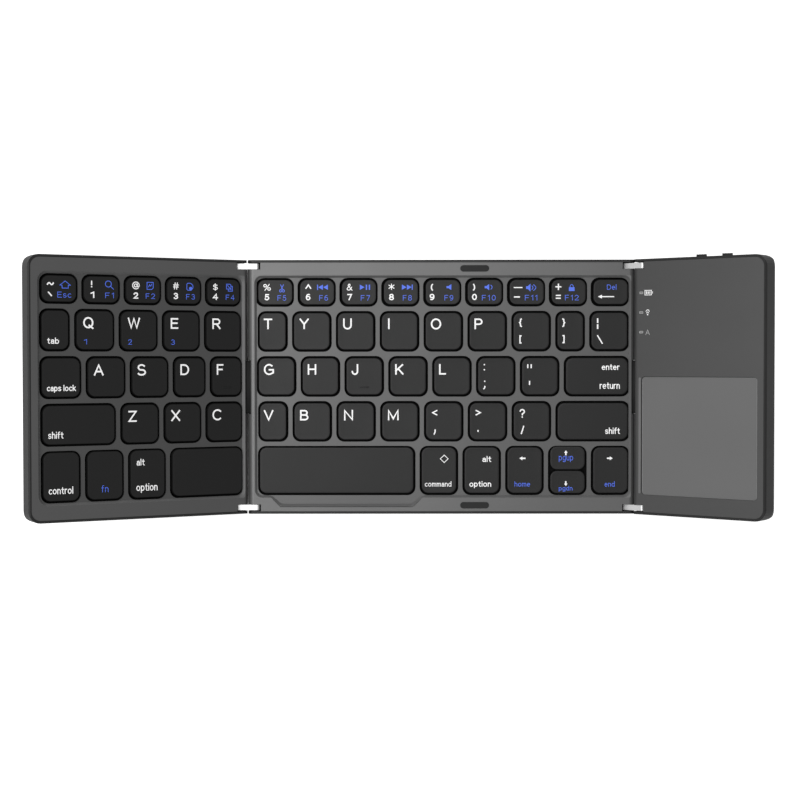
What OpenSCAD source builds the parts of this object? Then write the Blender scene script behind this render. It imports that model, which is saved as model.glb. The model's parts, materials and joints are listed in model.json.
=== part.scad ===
// Folding pocket keyboard in three panels, with a touchpad in the right wing.
// The wings stand partly raised, as they do while the keyboard is being opened.
// X runs along the rows of keys to the right, Y to the rear and Z up. The origin is on the table,
// below the middle of the raised keyboard.

/* [Panels] */
// Thickness of each panel without its feet
panel_t = 7.4; // [7.1:0.1:9]
// Margin from the rear edge to the first row of keys
rear_margin = 6.6; // [6.4:0.05:9]
// Margin from the last row of keys to the front edge
front_margin = 6.85; // [6.7:0.05:10]
// Margin from the left wing's outer edge to its keys
outer_margin = 4.4; // [3.8:0.1:8]
// Margin from the left wing's keys to the left fold line
left_fold_margin = 2.45; // [2.4:0.05:5]
// Margin from the left fold line to the centre panel's keys
centre_left_margin = 3.4; // [2.8:0.1:6]
// Margin from the centre panel's keys to the right fold line
centre_right_margin = 2.45; // [2.4:0.05:5]
// Radius of the outer corners seen from above
corner_r = 4; // [2:0.25:6]
// Gap between neighbouring panels
joint_gap = 0.35; // [0.3:0.05:0.8]
// Bevel round the upper outer edge
top_bevel = 0.5; // [0.1:0.05:0.8]
// Bevel round the lower outer edge
base_bevel = 0.9; // [0.3:0.1:1.2]

/* [Pose] */
// Lift of the left links above flat, in degrees
left_link_lift = 0; // [0:1:60]
// Lift of the left wing against its links, in degrees
left_wing_lift = 28.8; // [0:0.1:60]
// Lift of the right links above flat, in degrees
right_link_lift = 36.7; // [0:0.1:60]
// Lift of the right wing against its links, in degrees
right_wing_lift = 0; // [0:1:60]

/* [Shells] */
// Wall of the bottom covers, which shows as the rim round each panel
wall = 0.9; // [0.6:0.05:1.2]
// Floor of the bottom covers
floor_t = 1; // [0.6:0.1:1.3]
// Shadow gap between the cover's rim and the top plate
seam = 0.05; // [0.05:0.05:0.3]
// Depth of the key field below the rim
field_depth = 1; // [0.6:0.1:1.2]
// How far the key field reaches beyond its rows, at the front and the rear
field_out = 1.2; // [0.8:0.1:1.6]
// Thickness of the web between the key wells
web_t = 1; // [0.6:0.1:1.2]
// Thickness of the skirt below the top plates
skirt_t = 1.2; // [0.8:0.1:1.5]
// Wall of the top frames along the folds
nose_wall = 1.3; // [0.9:0.1:1.35]
// Width of the ledge that carries the base plates
ledge = 1.2; // [0.8:0.1:1.6]
// Thickness of the right wing's top plate
plate_t = 1.2; // [0.9:0.1:1.4]
// Radius of the posts under the base plates
post_r = 1.8; // [1:0.1:2.5]

/* [Keys] */
// Width of a letter key's space
key_w = 12.95; // [12.5:0.05:13]
// Width of a number key's space
number_w = 12.45; // [11.5:0.05:12.5]
// Width of a cut-down letter key at the fold
narrow_w = 9.7; // [9:0.1:9.8]
// Width of the tab key's space
tab_w = 9.5; // [9:0.1:9.6]
// Width of the D and F keys' space
middle_w = 11.2; // [10.5:0.1:11.4]
// Width of the caps lock key's space
caps_w = 13.3; // [12.5:0.1:13.3]
// Width of a shift key's space
shift_w = 24.9; // [24:0.1:25]
// Width of the enter key's space
enter_w = 22; // [20:0.1:22.1]
// Width of the backslash key's space
backslash_w = 13; // [12:0.1:13.1]
// Width of the right bracket key's space
bracket_w = 9.5; // [9:0.1:9.6]
// Width of a bottom row key's space
bottom_w = 12.6; // [12:0.1:12.65]
// Width of the left space bar's space
left_space_w = 26.1; // [24:0.1:26.2]
// Width of the right space bar's space
right_space_w = 53.9; // [50:0.1:54]
// Distance between two letter keys' spaces
key_gap = 2.25; // [2:0.05:2.3]
// Distance between two number keys' spaces
number_gap = 2.05; // [1.8:0.05:2.1]
// Distance between two rows' spaces
row_gap = 2.3; // [1.8:0.05:2.4]
// Height of the number row's space
number_h = 9.15; // [8:0.05:9.3]
// Height of a letter row's space
letter_h = 13.3; // [12:0.1:13.4]
// Height of the bottom row's space
bottom_h = 16.3; // [15:0.1:16.5]
// How far a well reaches beyond its key's space
well_out = 0.42; // [0.3:0.01:0.45]
// How far a cap stays inside its key's space
cap_in = 0.15; // [0.1:0.01:0.3]
// Corner radius of a well
well_r = 2.8; // [1.5:0.1:3]
// Cap height
cap_h = 2; // [1.6:0.1:2.1]
// Cap top below the rim
cap_drop = 0.3; // [0.2:0.05:0.5]
// Bevel round a cap's top
cap_bevel = 0.35; // [0.1:0.05:0.5]
// Cap wall and top thickness
cap_wall = 0.8; // [0.5:0.05:1]
// Key travel
key_travel = 1.2; // [0.8:0.1:1.25]
// Base plate thickness
base_t = 0.4; // [0.2:0.05:0.5]
// Membrane thickness
membrane_t = 0.3; // [0.1:0.05:0.3]
// Radius of a rubber dome's foot
dome_r = 2; // [1.5:0.1:2.2]
// Length of a lift's arms
lift_l = 8.5; // [7:0.1:9]
// Thickness of a lift's arms
lift_t = 0.5; // [0.3:0.05:0.6]
// Width of a lift's arms
lift_bar = 0.6; // [0.4:0.05:0.7]

/* [Hinges] */
// Depth of the hinge pins below the top face and behind the fold face
pin_inset = 2.05; // [2:0.05:2.5]
// Hinge pin radius
pin_r = 0.6; // [0.4:0.05:0.8]
// Height of a link
link_h = 2.7; // [2:0.05:3]
// How far a link passes its pins
link_tip = 1.9; // [1.1:0.05:1.9]
// Corner radius of a link
link_corner = 0.8; // [0.6:0.05:1.3]
// Link width along the fold
link_w = 1.9; // [1.4:0.1:2.2]
// Room round a link's end in its slot
link_room = 0.55; // [0.2:0.05:0.6]
// Room beside a link in its slot on the inner side
link_side = 0.15; // [0.15:0.05:0.4]
// Room beside a link in its slot on the outer side
link_out = 0.35; // [0.2:0.05:0.6]
// Length of a pin beyond the link on the inner side
pin_tail = 1.9; // [1.2:0.1:2]
// Length of the rubber sleeve round the flexible cable
sleeve_l = 18.4; // [12:0.1:24]
// Reach of the sleeve into each panel from the fold line
sleeve_reach = 1.2; // [0.8:0.05:1.25]
// Top of the sleeve below the panels' top faces
sleeve_drop = 0.9; // [0.4:0.1:1.5]
// Width of the ribbon cable
ribbon_w = 12; // [8:0.5:16]
// Thickness of the ribbon cable
ribbon_t = 0.2; // [0.1:0.05:0.3]

/* [Right wing] */
// Touchpad width
pad_w = 42.7; // [38:0.1:50]
// Touchpad depth
pad_d = 40.5; // [34:0.1:44]
// Distance from the fold line to the touchpad
pad_x = 3.9; // [3:0.1:5]
// Margin from the touchpad to the right wing's outer edge
pad_side = 3.2; // [2.8:0.1:6]
// Distance from the front edge to the touchpad
pad_front = 7; // [6.5:0.1:9]
// Touchpad surface thickness
pad_t = 1; // [0.6:0.1:1]
// Circuit board thickness
board_t = 0.8; // [0.6:0.1:1]
// Battery length from front to rear
battery_l = 44; // [30:1:46]
// Battery width
battery_w = 34; // [20:1:38]
// Battery thickness
battery_t = 3; // [2:0.1:3.2]
// Charging port width
port_w = 9; // [7:0.1:10]
// Charging port height
port_h = 3.2; // [2.6:0.1:3.2]
// Charging port length
port_l = 7; // [5:0.1:8]
// Distance from the fold line to the port's middle
port_x = 14; // [10:0.5:16]
// Distance from the fold line to the indicator windows
light_x = 2.95; // [2.9:0.05:4]
// Distance from the touchpad to the first indicator window's middle
light_y = 15.35; // [12:0.05:18]
// Distance between two indicator windows
light_pitch = 6.75; // [4:0.05:7.5]
// Indicator window length
light_l = 1.5; // [1:0.1:1.6]
// Indicator window width
light_w = 0.9; // [0.6:0.1:1.2]
// Knob width
knob_w = 3.3; // [2.5:0.1:3.6]
// Knob height
knob_h = 1.2; // [0.8:0.1:1.4]
// How far a knob stands out of the rear wall
knob_out = 0.9; // [0.5:0.1:1.2]
// Travel of a slide switch
knob_travel = 2; // [1.2:0.1:2.2]
// Distance from the fold line to the power switch's knob
power_x = 23; // [21:0.1:25]
// Distance between the two knobs
knob_pitch = 9.5; // [8.5:0.1:10]

/* [Feet and bumpers] */
// Feet height below the covers
foot_h = 0.6; // [0.5:0.05:1]
// Foot length
foot_l = 14; // [8:0.5:20]
// Foot width
foot_w = 5; // [3:0.25:6]
// Distance from a foot to the end of its panel
foot_end = 3.5; // [2:0.25:8]
// Distance from a foot to the front or rear edge
foot_side = 4.5; // [2:0.25:8]
// Depth of the foot and bumper pockets
pocket = 0.3; // [0.2:0.05:0.4]
// Bumper length
bumper_l = 10; // [6:0.1:12]
// Bumper width
bumper_w = 2.2; // [1.6:0.1:2.4]
// How far a bumper stands out of the top face
bumper_out = 0.2; // [0.1:0.05:0.25]
// Distance of the bumpers to the right of the centre panel's middle
bumper_x = 11.5; // [8:0.1:14]

/* [Hidden] */

// Small allowances that the whole model shares
slack = 0.05;
cut = 1;
fit_gap = 0.1;
arc_steps = 6;

// Levels below the top face of a panel
field_z = -field_depth;
web_z = field_z - web_t;
cap_z = -cap_drop;
membrane_z = cap_z - cap_h - key_travel - 0.2;
base_z = membrane_z - membrane_t;
seat_z = base_z - base_t;
floor_z = floor_t - panel_t;
cap_under_z = cap_z - cap_wall;

// Key rows from the rear to the front: their heights, the gaps between their keys, and how far each
// starts past its panel's first key
row_h = [number_h, letter_h, letter_h, letter_h, bottom_h];
row_gaps = [number_gap, key_gap, key_gap, key_gap, key_gap];
rows_h = number_h + 3 * letter_h + bottom_h + 4 * row_gap;
left_stagger = [0.1, 0, 0, 0.2, 0.3];
centre_stagger = [0, 0.6, 0.3, 0.7, 0.6];

// Widths of the key spaces of each row from left to right
left_widths = [
    [number_w - 0.35, number_w, number_w, number_w, number_w],
    [tab_w, key_w, key_w, key_w, key_w],
    [caps_w, key_w, key_w, middle_w, middle_w],
    [shift_w, key_w, key_w, key_w],
    [bottom_w, bottom_w, bottom_w, left_space_w]
];
centre_widths = [
    [for (i = [0:8]) number_w],
    concat([narrow_w], [for (i = [0:5]) key_w], [bracket_w, backslash_w]),
    concat([for (i = [0:6]) key_w], [enter_w]),
    concat([narrow_w], [for (i = [0:5]) key_w], [shift_w]),
    concat([right_space_w], [for (i = [0:4]) bottom_w])
];
arrow_column = 4;

// Sizes of the panels, which their keys or the touchpad fill
panel_d = rear_margin + rows_h + front_margin;
fold_pitch = centre_left_margin + rows_w(centre_widths, centre_stagger) + centre_right_margin;
left_w = outer_margin + rows_w(left_widths, left_stagger) + left_fold_margin;
right_w = pad_x + pad_w + pad_side;

// Key spaces of each row: low and high X
rows_rear = panel_d / 2 - rear_margin;
left_start = outer_margin - left_w;
centre_start = centre_left_margin - fold_pitch / 2;
left_rows = spans_of(left_start, left_widths, left_stagger);
centre_rows = spans_of(centre_start, centre_widths, centre_stagger);

// Hinge geometry: two pins to a link, each link pitch apart, so that the folded faces lie the gap apart
pin_x = joint_gap / 2 + pin_inset;
link_pitch = 2 * pin_inset + joint_gap;
link_y = panel_d / 2 - wall - link_out - link_w / 2;
slot_back = pin_x + link_tip + link_room;
slot_y = link_y - link_w / 2 - link_side;
pin_block_w = pin_tail - link_side + 0.5;
pin_bore_r = pin_r + slack;

// Panels: low X, high X, and whether each of those ends is a fold
centre = [joint_gap / 2 - fold_pitch / 2, fold_pitch / 2 - joint_gap / 2, true, true];
left = [-left_w, -joint_gap / 2, false, true];
right = [joint_gap / 2, right_w, true, false];

// Places in the model
table_z = foot_h + panel_t;
left_lift = left_link_lift + left_wing_lift;
right_lift = right_link_lift + right_wing_lift;
left_reach = pin_x - link_pitch * cos(left_link_lift) - (left_w - pin_x) * cos(left_lift)
    - (panel_t - pin_inset) * sin(left_lift);
right_reach = link_pitch * cos(right_link_lift) - pin_x + (right_w - pin_x) * cos(right_lift)
    + (panel_t - pin_inset) * sin(right_lift);
centre_x = -(left_reach + right_reach) / 2;

// Right wing places, from the fold line outwards and from the middle to the rear
pad_y = pad_front - panel_d / 2;
pad_top_z = -0.2;
pad_board_z = pad_top_z - pad_t;
board_z = floor_z + 0.8 + board_t;
board_x = joint_gap / 2 + nose_wall + ledge + slack;
board_front = pad_y + pad_d + 13.5;
board_end = right_w - wall - ledge - 1;
board_rear = panel_d / 2 - wall - ledge - 0.4;
port_z = board_z + port_h / 2;
knob_z = board_z + 1.2;
mode_x = power_x + knob_pitch;
light_ys = [for (i = [0:2]) pad_y + pad_d + light_y + i * light_pitch];

// Sum of the first n numbers of a list
function before(list, n) = n == 0 ? 0 : list[n - 1] + before(list, n - 1);

// Length of the longest row of a panel, from the panel's first key
function rows_w(widths, stagger) = max([
    for (r = [0:4]) stagger[r] + before(widths[r], len(widths[r])) + (len(widths[r]) - 1) * row_gaps[r]
]);

// Key spaces of all rows of a panel
function spans_of(start, widths, stagger) = [
    for (r = [0:4]) spans(start + stagger[r], widths[r], row_gaps[r])
];

// Low and high X of each key's space in a row
function spans(start, widths, gap) = [
    for (i = [0:len(widths) - 1])
        let (low = start + before(widths, i) + i * gap)
        [low, low + widths[i]]
];

// Rear and front edge of a row
function row_rear(r) = rows_rear - before(row_h, r) - r * row_gap;
function row_front(r) = row_rear(r) - row_h[r];

// Points of an arc
function arc(c, r, from, to) = [
    for (i = [0:arc_steps])
        let (a = from + (to - from) * i / arc_steps)
        [c[0] + r * cos(a), c[1] + r * sin(a)]
];

// A corner: an arc, or one point where the radius is nothing
function corner(c, sx, sy, r, from) =
    r <= 0 ? [c] : arc([c[0] - sx * r, c[1] - sy * r], r, from, from + 90);

// A rectangle with its own radius at each end
function round_box(x0, x1, y0, y1, r0, r1) = concat(
    corner([x1, y1], 1, 1, r1, 0),
    corner([x0, y1], -1, 1, r0, 90),
    corner([x0, y0], -1, -1, r0, 180),
    corner([x1, y0], 1, -1, r1, 270)
);

// A panel's plan, set in by one amount on its outer sides and another at its folds
function plan(p, side, fold) = round_box(
    p[0] + (p[2] ? fold : side), p[1] - (p[3] ? fold : side), side - panel_d / 2, panel_d / 2 - side,
    p[2] ? 0 : corner_r - side, p[3] ? 0 : corner_r - side
);

// A panel's section along X: each fold has a round nose about its hinge pins
function fold_end(x, s) = concat(
    [[x + s * base_bevel, -panel_t], [x, base_bevel - panel_t]],
    arc([x + s * pin_inset, -pin_inset], pin_inset, s > 0 ? 180 : 0, 90)
);
function outer_end(x, s) = [
    [x + s * base_bevel, -panel_t], [x, base_bevel - panel_t], [x, -top_bevel], [x + s * top_bevel, 0]
];
function end_of(p, i) = p[i + 2] ? fold_end(p[i], 1 - 2 * i) : outer_end(p[i], 1 - 2 * i);
function reversed(list) = [for (i = [len(list) - 1:-1:0]) list[i]];

// A slab of a flat shape between two levels
module slab(z0, z1) {
    translate([0, 0, z0]) linear_extrude(z1 - z0) children();
}

module slab_of(points, z0, z1) {
    slab(z0, z1) polygon(points);
}

module block(x, y, z) {
    translate([x[0], y[0], z[0]]) cube([x[1] - x[0], y[1] - y[0], z[1] - z[0]]);
}

// Outlines drawn in X and Z run along Y, and outlines drawn in Y and Z run along X
module along_y(length) {
    rotate([90, 0, 0]) linear_extrude(length, center = true) children();
}

module along_x(length) {
    rotate([90, 0, 90]) linear_extrude(length, center = true) children();
}

// A cylinder along Y between two places
module rod(x, y, z, r) {
    translate([x, y[0], z]) rotate([-90, 0, 0]) cylinder(h = y[1] - y[0], r = r, $fn = 48);
}

// Where each moving group stands in the model. Inside, Z is measured from the panel's top face, and X
// from the fold line, or from the middle of the centre panel.
module on_centre() {
    translate([centre_x, 0, table_z]) children();
}

module on_links(side, lift) {
    translate([centre_x + side * (fold_pitch / 2 - pin_x), 0, table_z - pin_inset])
        rotate([0, -side * lift, 0]) children();
}

module on_wing(side, link_lift, wing_lift) {
    on_links(side, link_lift) translate([side * link_pitch, 0, 0]) rotate([0, -side * wing_lift, 0])
        translate([-side * pin_x, 0, pin_inset]) children();
}

module on_left() {
    on_wing(-1, left_link_lift, left_wing_lift) children();
}

module on_right() {
    on_wing(1, right_link_lift, right_wing_lift) children();
}

// The outer shape of a panel
module envelope(p) {
    intersection() {
        along_y(panel_d) polygon(concat(end_of(p, 0), reversed(end_of(p, 1))));
        slab_of(plan(p, 0, 0), -panel_t, 0);
        translate([(p[0] + p[1]) / 2, 0, 0]) along_x(p[1] - p[0]) polygon(concat(
            outer_end(-panel_d / 2, 1), reversed(outer_end(panel_d / 2, -1))
        ));
    }
}

// Calls its children at each fold of a panel, with X measured from the fold face into the panel
module at_folds(p) {
    if (p[2]) translate([p[0], 0, 0]) children();
    if (p[3]) translate([p[1], 0, 0]) rotate([0, 0, 180]) children();
}

// Room for the two links, down to the ledge under the base plate
module link_slots() {
    for (s = [-1, 1])
        block([-cut, slot_back - joint_gap / 2],
            s > 0 ? [slot_y, panel_d / 2 - wall] : [wall - panel_d / 2, -slot_y], [seat_z - slack, cut]);
}

// Everything that is cut out at a fold: link slots, pin bores, the sleeve's notch and the ribbon's way in
module fold_cuts() {
    link_slots();
    for (s = [-1, 1])
        rod(pin_inset, s > 0 ? [slot_y - pin_tail + link_side, panel_d / 2 - 0.3]
            : [0.3 - panel_d / 2, pin_tail - link_side - slot_y], -pin_inset, pin_bore_r);
    block([-cut, sleeve_reach + fit_gap - joint_gap / 2],
        [-sleeve_l / 2 - fit_gap, sleeve_l / 2 + fit_gap], [floor_z + ribbon_t, cut]);
    block([0, nose_wall + ledge + cut], [-ribbon_w / 2 - fit_gap, ribbon_w / 2 + fit_gap],
        [floor_z, floor_z + ribbon_t + fit_gap]);
}

// Blocks of the top frame that hold the inner ends of the pins
module pin_blocks() {
    for (s = [-1, 1]) {
        block([0, slot_back - joint_gap / 2],
            s > 0 ? [slot_y - pin_block_w, slot_y + fit_gap] : [-slot_y - fit_gap, pin_block_w - slot_y],
            [membrane_z + fit_gap, 0]);
    }
}

// A tray: floor, rim on the outer sides, low wall along the folds, and a ledge all round
module bottom_cover(p, posts) {
    difference() {
        envelope(p);
        slab_of(plan(p, wall, -cut), seat_z, cut);
        slab_of(plan(p, wall + ledge, nose_wall + ledge), floor_z, seat_z + cut);
        at_folds(p) fold_cuts();
        foot_pads(p, pocket);
    }
    for (at = posts) translate([at[0], at[1], floor_z]) cylinder(h = at[2] - floor_z, r = post_r, $fn = 32);
}

// Rounded pad under a panel: two by the outer end of a wing, four under the centre
module foot_pads(p, top) {
    inset_x = foot_l / 2 + foot_end;
    y = panel_d / 2 - foot_w / 2 - foot_side;
    xs = concat(p[2] && !p[3] ? [] : [p[0] + inset_x], p[3] && !p[2] ? [] : [p[1] - inset_x]);
    for (x = xs, s = [-1, 1])
        slab_of(round_box(x - foot_l / 2, x + foot_l / 2, s * y - foot_w / 2, s * y + foot_w / 2,
            foot_w / 2, foot_w / 2), -panel_t - foot_h, top - panel_t);
}

// The lower key field within the rim of a top frame
function field_plan(p, x0, x1) = round_box(
    x0, x1, row_front(4) - field_out, rows_rear + field_out, p[2] ? 0.6 : 3, p[3] ? 0.6 : 3
);

module key_wells(rows) {
    for (r = [0:4], k = rows[r])
        polygon(round_box(k[0] - well_out, k[1] + well_out, row_front(r) - well_out,
            row_rear(r) + well_out, well_r, well_r));
}

// The frame of a panel with keys: rim round the key field, skirt and fold noses
module top_frame(p, x0, x1) {
    difference() {
        intersection() {
            envelope(p);
            union() {
                slab_of(plan(p, wall + seam, -cut), field_z, 0);
                slab(base_z, field_z) difference() {
                    polygon(plan(p, wall + seam, -cut));
                    polygon(plan(p, wall + seam + skirt_t, nose_wall));
                }
                at_folds(p) block([-cut, nose_wall], [wall + seam - panel_d / 2, panel_d / 2 - wall - seam],
                    [seat_z, base_z + slack]);
                at_folds(p) pin_blocks();
            }
        }
        slab_of(field_plan(p, x0, x1), field_z, cut);
        children();
        at_folds(p) fold_cuts();
    }
}

// The sunken plate under the rim, with a well for each key
module key_web(p, rows) {
    difference() {
        slab(web_z, field_z) difference() {
            polygon(plan(p, wall + seam + skirt_t + fit_gap, nose_wall + fit_gap));
            key_wells(rows);
        }
        at_folds(p) for (s = [-1, 1])
            block([-cut, slot_back - joint_gap / 2 + fit_gap], s > 0
                ? [slot_y - pin_block_w - fit_gap, panel_d / 2]
                : [-panel_d / 2, pin_block_w + fit_gap - slot_y], [web_z - cut, cut]);
    }
}

module base_plate(p) {
    difference() {
        slab_of(plan(p, wall + seam, nose_wall + fit_gap), seat_z, base_z);
        at_folds(p) link_slots();
    }
}

module membrane(p) {
    difference() {
        slab_of(plan(p, wall + seam + skirt_t + fit_gap, nose_wall + fit_gap), base_z, membrane_z);
        at_folds(p) link_slots();
    }
}

// Front and rear of one of the two half keys that share the arrow column's well
function half_key(upper) =
    let (middle = (row_rear(4) + row_front(4)) / 2)
    upper ? [middle + fit_gap / 2, row_rear(4)] : [row_front(4), middle - fit_gap / 2];

// Places of a row's caps: low X, high X, front, rear
function caps_of(rows, r) = [for (k = rows[r]) [k[0], k[1], row_front(r), row_rear(r)]];
function arrow_halves() = [
    for (upper = [true, false])
        let (k = centre_rows[4][arrow_column], y = half_key(upper))
        [k[0], k[1], y[0], y[1]]
];
function left_caps() = [for (r = [0:4]) each caps_of(left_rows, r)];
function centre_caps() = concat(
    [for (r = [0:3]) each caps_of(centre_rows, r)],
    [for (c = [0, 1, 2, 3, 5]) caps_of(centre_rows, 4)[c]],
    arrow_halves()
);

// Outline of a cap, set in from the edges of its space
function cap_plan(k, more) =
    let (in = cap_in + more, r = well_r - in - fit_gap)
    round_box(k[0] + in, k[1] - in, k[2] + in, k[3] - in, r, r);

// Section of a cap with its top edges bevelled
function cap_section(low, high) = [
    [low, cap_z - cap_h], [low, cap_z - cap_bevel], [low + cap_bevel, cap_z],
    [high - cap_bevel, cap_z], [high, cap_z - cap_bevel], [high, cap_z - cap_h]
];

// One hollow cap
module cap(k) {
    difference() {
        intersection() {
            slab_of(cap_plan(k, 0), cap_z - cap_h, cap_z);
            translate([0, (k[2] + k[3]) / 2, 0]) along_y(k[3] - k[2])
                polygon(cap_section(k[0] + cap_in, k[1] - cap_in));
            translate([(k[0] + k[1]) / 2, 0, 0]) along_x(k[1] - k[0])
                polygon(cap_section(k[2] + cap_in, k[3] - cap_in));
        }
        slab_of(cap_plan(k, cap_wall), cap_z - cap_h - cut, cap_under_z);
    }
}

module caps(places, columns) {
    for (c = columns) cap(places[c]);
}

// Raised bar that a finger finds on the F and J keys
module homing_bar(k) {
    middle = (k[0] + k[1]) / 2;
    block([middle - 1.7, middle + 1.7], [k[2] + 2.2, k[2] + 2.7], [cap_z - slack, cap_z + 0.15]);
}

// A lift and a dome fit the room inside their cap
function room(low, high) = high - low - 2 * cap_in - 2 * cap_wall - 0.6;
function is_wide(k) = k[1] - k[0] > 20;
function lift_length(k) = min(lift_l, is_wide(k) ? room(k[0], k[1]) / 2 - dome_r - 0.3 : room(k[0], k[1]));
function lift_d(k) = min(8, room(k[2], k[3]));
function inner_d(k) = lift_d(k) - 2 * lift_bar - 0.2;
function dome_size(k) = min(dome_r, inner_d(k) / 2 - lift_bar - 0.1);

// Rubber dome that stands on the membrane under the middle of a cap
module dome(k) {
    r = dome_size(k);
    translate([(k[0] + k[1]) / 2, (k[2] + k[3]) / 2, membrane_z])
        cylinder(h = cap_under_z - membrane_z - slack, r1 = r, r2 = 0.7 * r, $fn = 32);
}

// Crossed pair of lift frames, one inside the other, leaning opposite ways
module lift(x, k) {
    height = cap_under_z - membrane_z;
    lean = asin((height - lift_t - 2 * slack) / lift_length(k));
    translate([x, (k[2] + k[3]) / 2, membrane_z + height / 2]) {
        rotate([0, lean, 0]) lift_frame(lift_length(k), lift_d(k));
        rotate([0, -lean, 0]) lift_frame(lift_length(k), inner_d(k));
    }
}

module lift_frame(length, d) {
    slab(-lift_t / 2, lift_t / 2) difference() {
        square([length, d], center = true);
        square([length - 2 * lift_bar, d - 2 * lift_bar], center = true);
    }
}

// A wide key has two lifts
module lifts(k) {
    middle = (k[0] + k[1]) / 2;
    spread = (room(k[0], k[1]) - lift_length(k)) / 2;
    if (is_wide(k)) {
        lift(middle - spread, k);
        lift(middle + spread, k);
    } else {
        lift(middle, k);
    }
}

// Posts that carry a base plate: X, Y and top
function post_grid(xs, y) = [for (x = xs, s = [-1, 1]) [x, s * y, seat_z]];

// Centre panel
module centre_bottom_cover() color("dimgray") on_centre() {
    bottom_cover(centre, post_grid([for (i = [-1.5:1.5]) i * fold_pitch / 4], panel_d / 4));
}

module centre_top_frame() color("gray") on_centre() {
    top_frame(centre, centre_start - 0.8, centre[1] - nose_wall - 2 * fit_gap) {
        space_relief();
        bumpers(pocket);
    }
}

// The field dips forward in front of the long space bar, with slanted ends
module space_relief() {
    k = centre_rows[4][0];
    deep = -panel_d / 2 + wall + seam + skirt_t + 2 * fit_gap;
    edge = row_front(4) - 1.1;
    slab_of([[k[0] + 4, edge], [k[0] + 7.5, deep], [k[1] - 0.5, deep], [k[1] + 3, edge]], field_z, cut);
}

module centre_key_web() color("gray") on_centre() {
    key_web(centre, centre_rows);
}

module centre_base_plate() color("silver") on_centre() {
    base_plate(centre);
}

module centre_membrane() color("darkseagreen") on_centre() {
    membrane(centre);
}

module centre_rubber_domes() color("gainsboro") on_centre() {
    for (k = centre_caps()) dome(k);
}

module centre_key_lifts() color("whitesmoke") on_centre() {
    for (k = centre_caps()) lifts(k);
}

module centre_feet() color("black") on_centre() {
    foot_pads(centre, pocket);
}

// Stops that the folded wings close on
module bumpers(depth) {
    y = panel_d / 2 - 3;
    for (s = [-1, 1])
        slab_of(round_box(bumper_x - bumper_l / 2, bumper_x + bumper_l / 2, s * y - bumper_w / 2,
            s * y + bumper_w / 2, bumper_w / 2, bumper_w / 2), -depth, bumper_out);
}

module fold_bumpers() color("black") on_centre() {
    bumpers(pocket);
}

// Flat cable along the floor between the two sleeves
module ribbon_cable() color("sienna") on_centre() {
    reach = fold_pitch / 2 - sleeve_reach - fit_gap;
    block([-reach, reach], [-ribbon_w / 2, ribbon_w / 2], [floor_z, floor_z + ribbon_t]);
}

// Left wing
module left_bottom_cover() color("dimgray") on_left() {
    bottom_cover(left, post_grid([-left_w * 0.7, -left_w * 0.35], panel_d / 4));
}

module left_top_frame() color("gray") on_left() {
    top_frame(left, left_start - 1.2, left[1] - nose_wall - 2 * fit_gap);
}

module left_key_web() color("gray") on_left() {
    key_web(left, left_rows);
}

module left_base_plate() color("silver") on_left() {
    base_plate(left);
}

module left_membrane() color("darkseagreen") on_left() {
    membrane(left);
}

module left_rubber_domes() color("gainsboro") on_left() {
    for (k = left_caps()) dome(k);
}

module left_key_lifts() color("whitesmoke") on_left() {
    for (k = left_caps()) lifts(k);
}

module left_feet() color("black") on_left() {
    foot_pads(left, pocket);
}

// Right wing
module port_cut() {
    translate([port_x, panel_d / 2, port_z]) along_y(2 * (wall + ledge + seam + cut))
        polygon(round_box(-port_w / 2 - 0.2, port_w / 2 + 0.2, -port_h / 2 - 0.2, port_h / 2 + 0.2,
            port_h / 2 + 0.15, port_h / 2 + 0.15));
}

module knob_cuts() {
    for (x = [power_x, mode_x])
        block([x - 0.2, x + knob_w + knob_travel + 0.2], [board_rear - cut, panel_d / 2 + cut],
            [knob_z - knob_h / 2 - 0.2, knob_z + knob_h / 2 + 0.2]);
}

module right_bottom_cover() color("dimgray") on_right() {
    difference() {
        bottom_cover(right, [
            for (x = [board_x + 4, right_w - wall - ledge - 5], y = [board_front + 4, board_rear - 9])
                [x, y, board_z - board_t]
        ]);
        port_cut();
        knob_cuts();
    }
}

module right_top_cover() color("gray") on_right() {
    difference() {
        intersection() {
            envelope(right);
            union() {
                slab_of(plan(right, wall + seam, -cut), -plate_t, 0);
                slab(seat_z, -plate_t) difference() {
                    polygon(plan(right, wall + seam, -cut));
                    polygon(plan(right, wall + seam + skirt_t, nose_wall));
                }
                at_folds(right) pin_blocks();
            }
        }
        slab_of(pad_plan(fit_gap), -panel_t, cut);
        lights(slack, -panel_t, cut);
        at_folds(right) fold_cuts();
        port_cut();
        knob_cuts();
    }
}

function pad_plan(more) = round_box(
    pad_x - more, pad_x + pad_w + more, pad_y - more, pad_y + pad_d + more, 1.2 + more, 1.2 + more
);

module touchpad_surface() color("slategray") on_right() {
    slab_of(pad_plan(0), pad_board_z, pad_top_z);
}

// Sensor board behind the touchpad, with its ribbon down to the main board
module touchpad_board() color("darkgreen") on_right() {
    under = pad_board_z - board_t;
    slab_of(pad_plan(0.7), under, pad_board_z);
    translate([pad_x + pad_w / 2, 0, 0]) along_x(10) polygon([
        [pad_y + pad_d - 4, under], [board_front - 3, under], [board_front + 1, board_z + ribbon_t],
        [board_front + 5, board_z + ribbon_t], [board_front + 5, board_z], [board_front + 1, board_z],
        [board_front - 3, under - ribbon_t], [pad_y + pad_d - 4, under - ribbon_t]
    ]);
}

module lights(more, z0, z1) {
    for (y = light_ys)
        block([light_x - more, light_x + light_l + more],
            [y - light_w / 2 - more, y + light_w / 2 + more], [z0, z1]);
}

module indicator_lights() color("lightgray") on_right() {
    lights(0, board_z + 0.7, 0);
}

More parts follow.
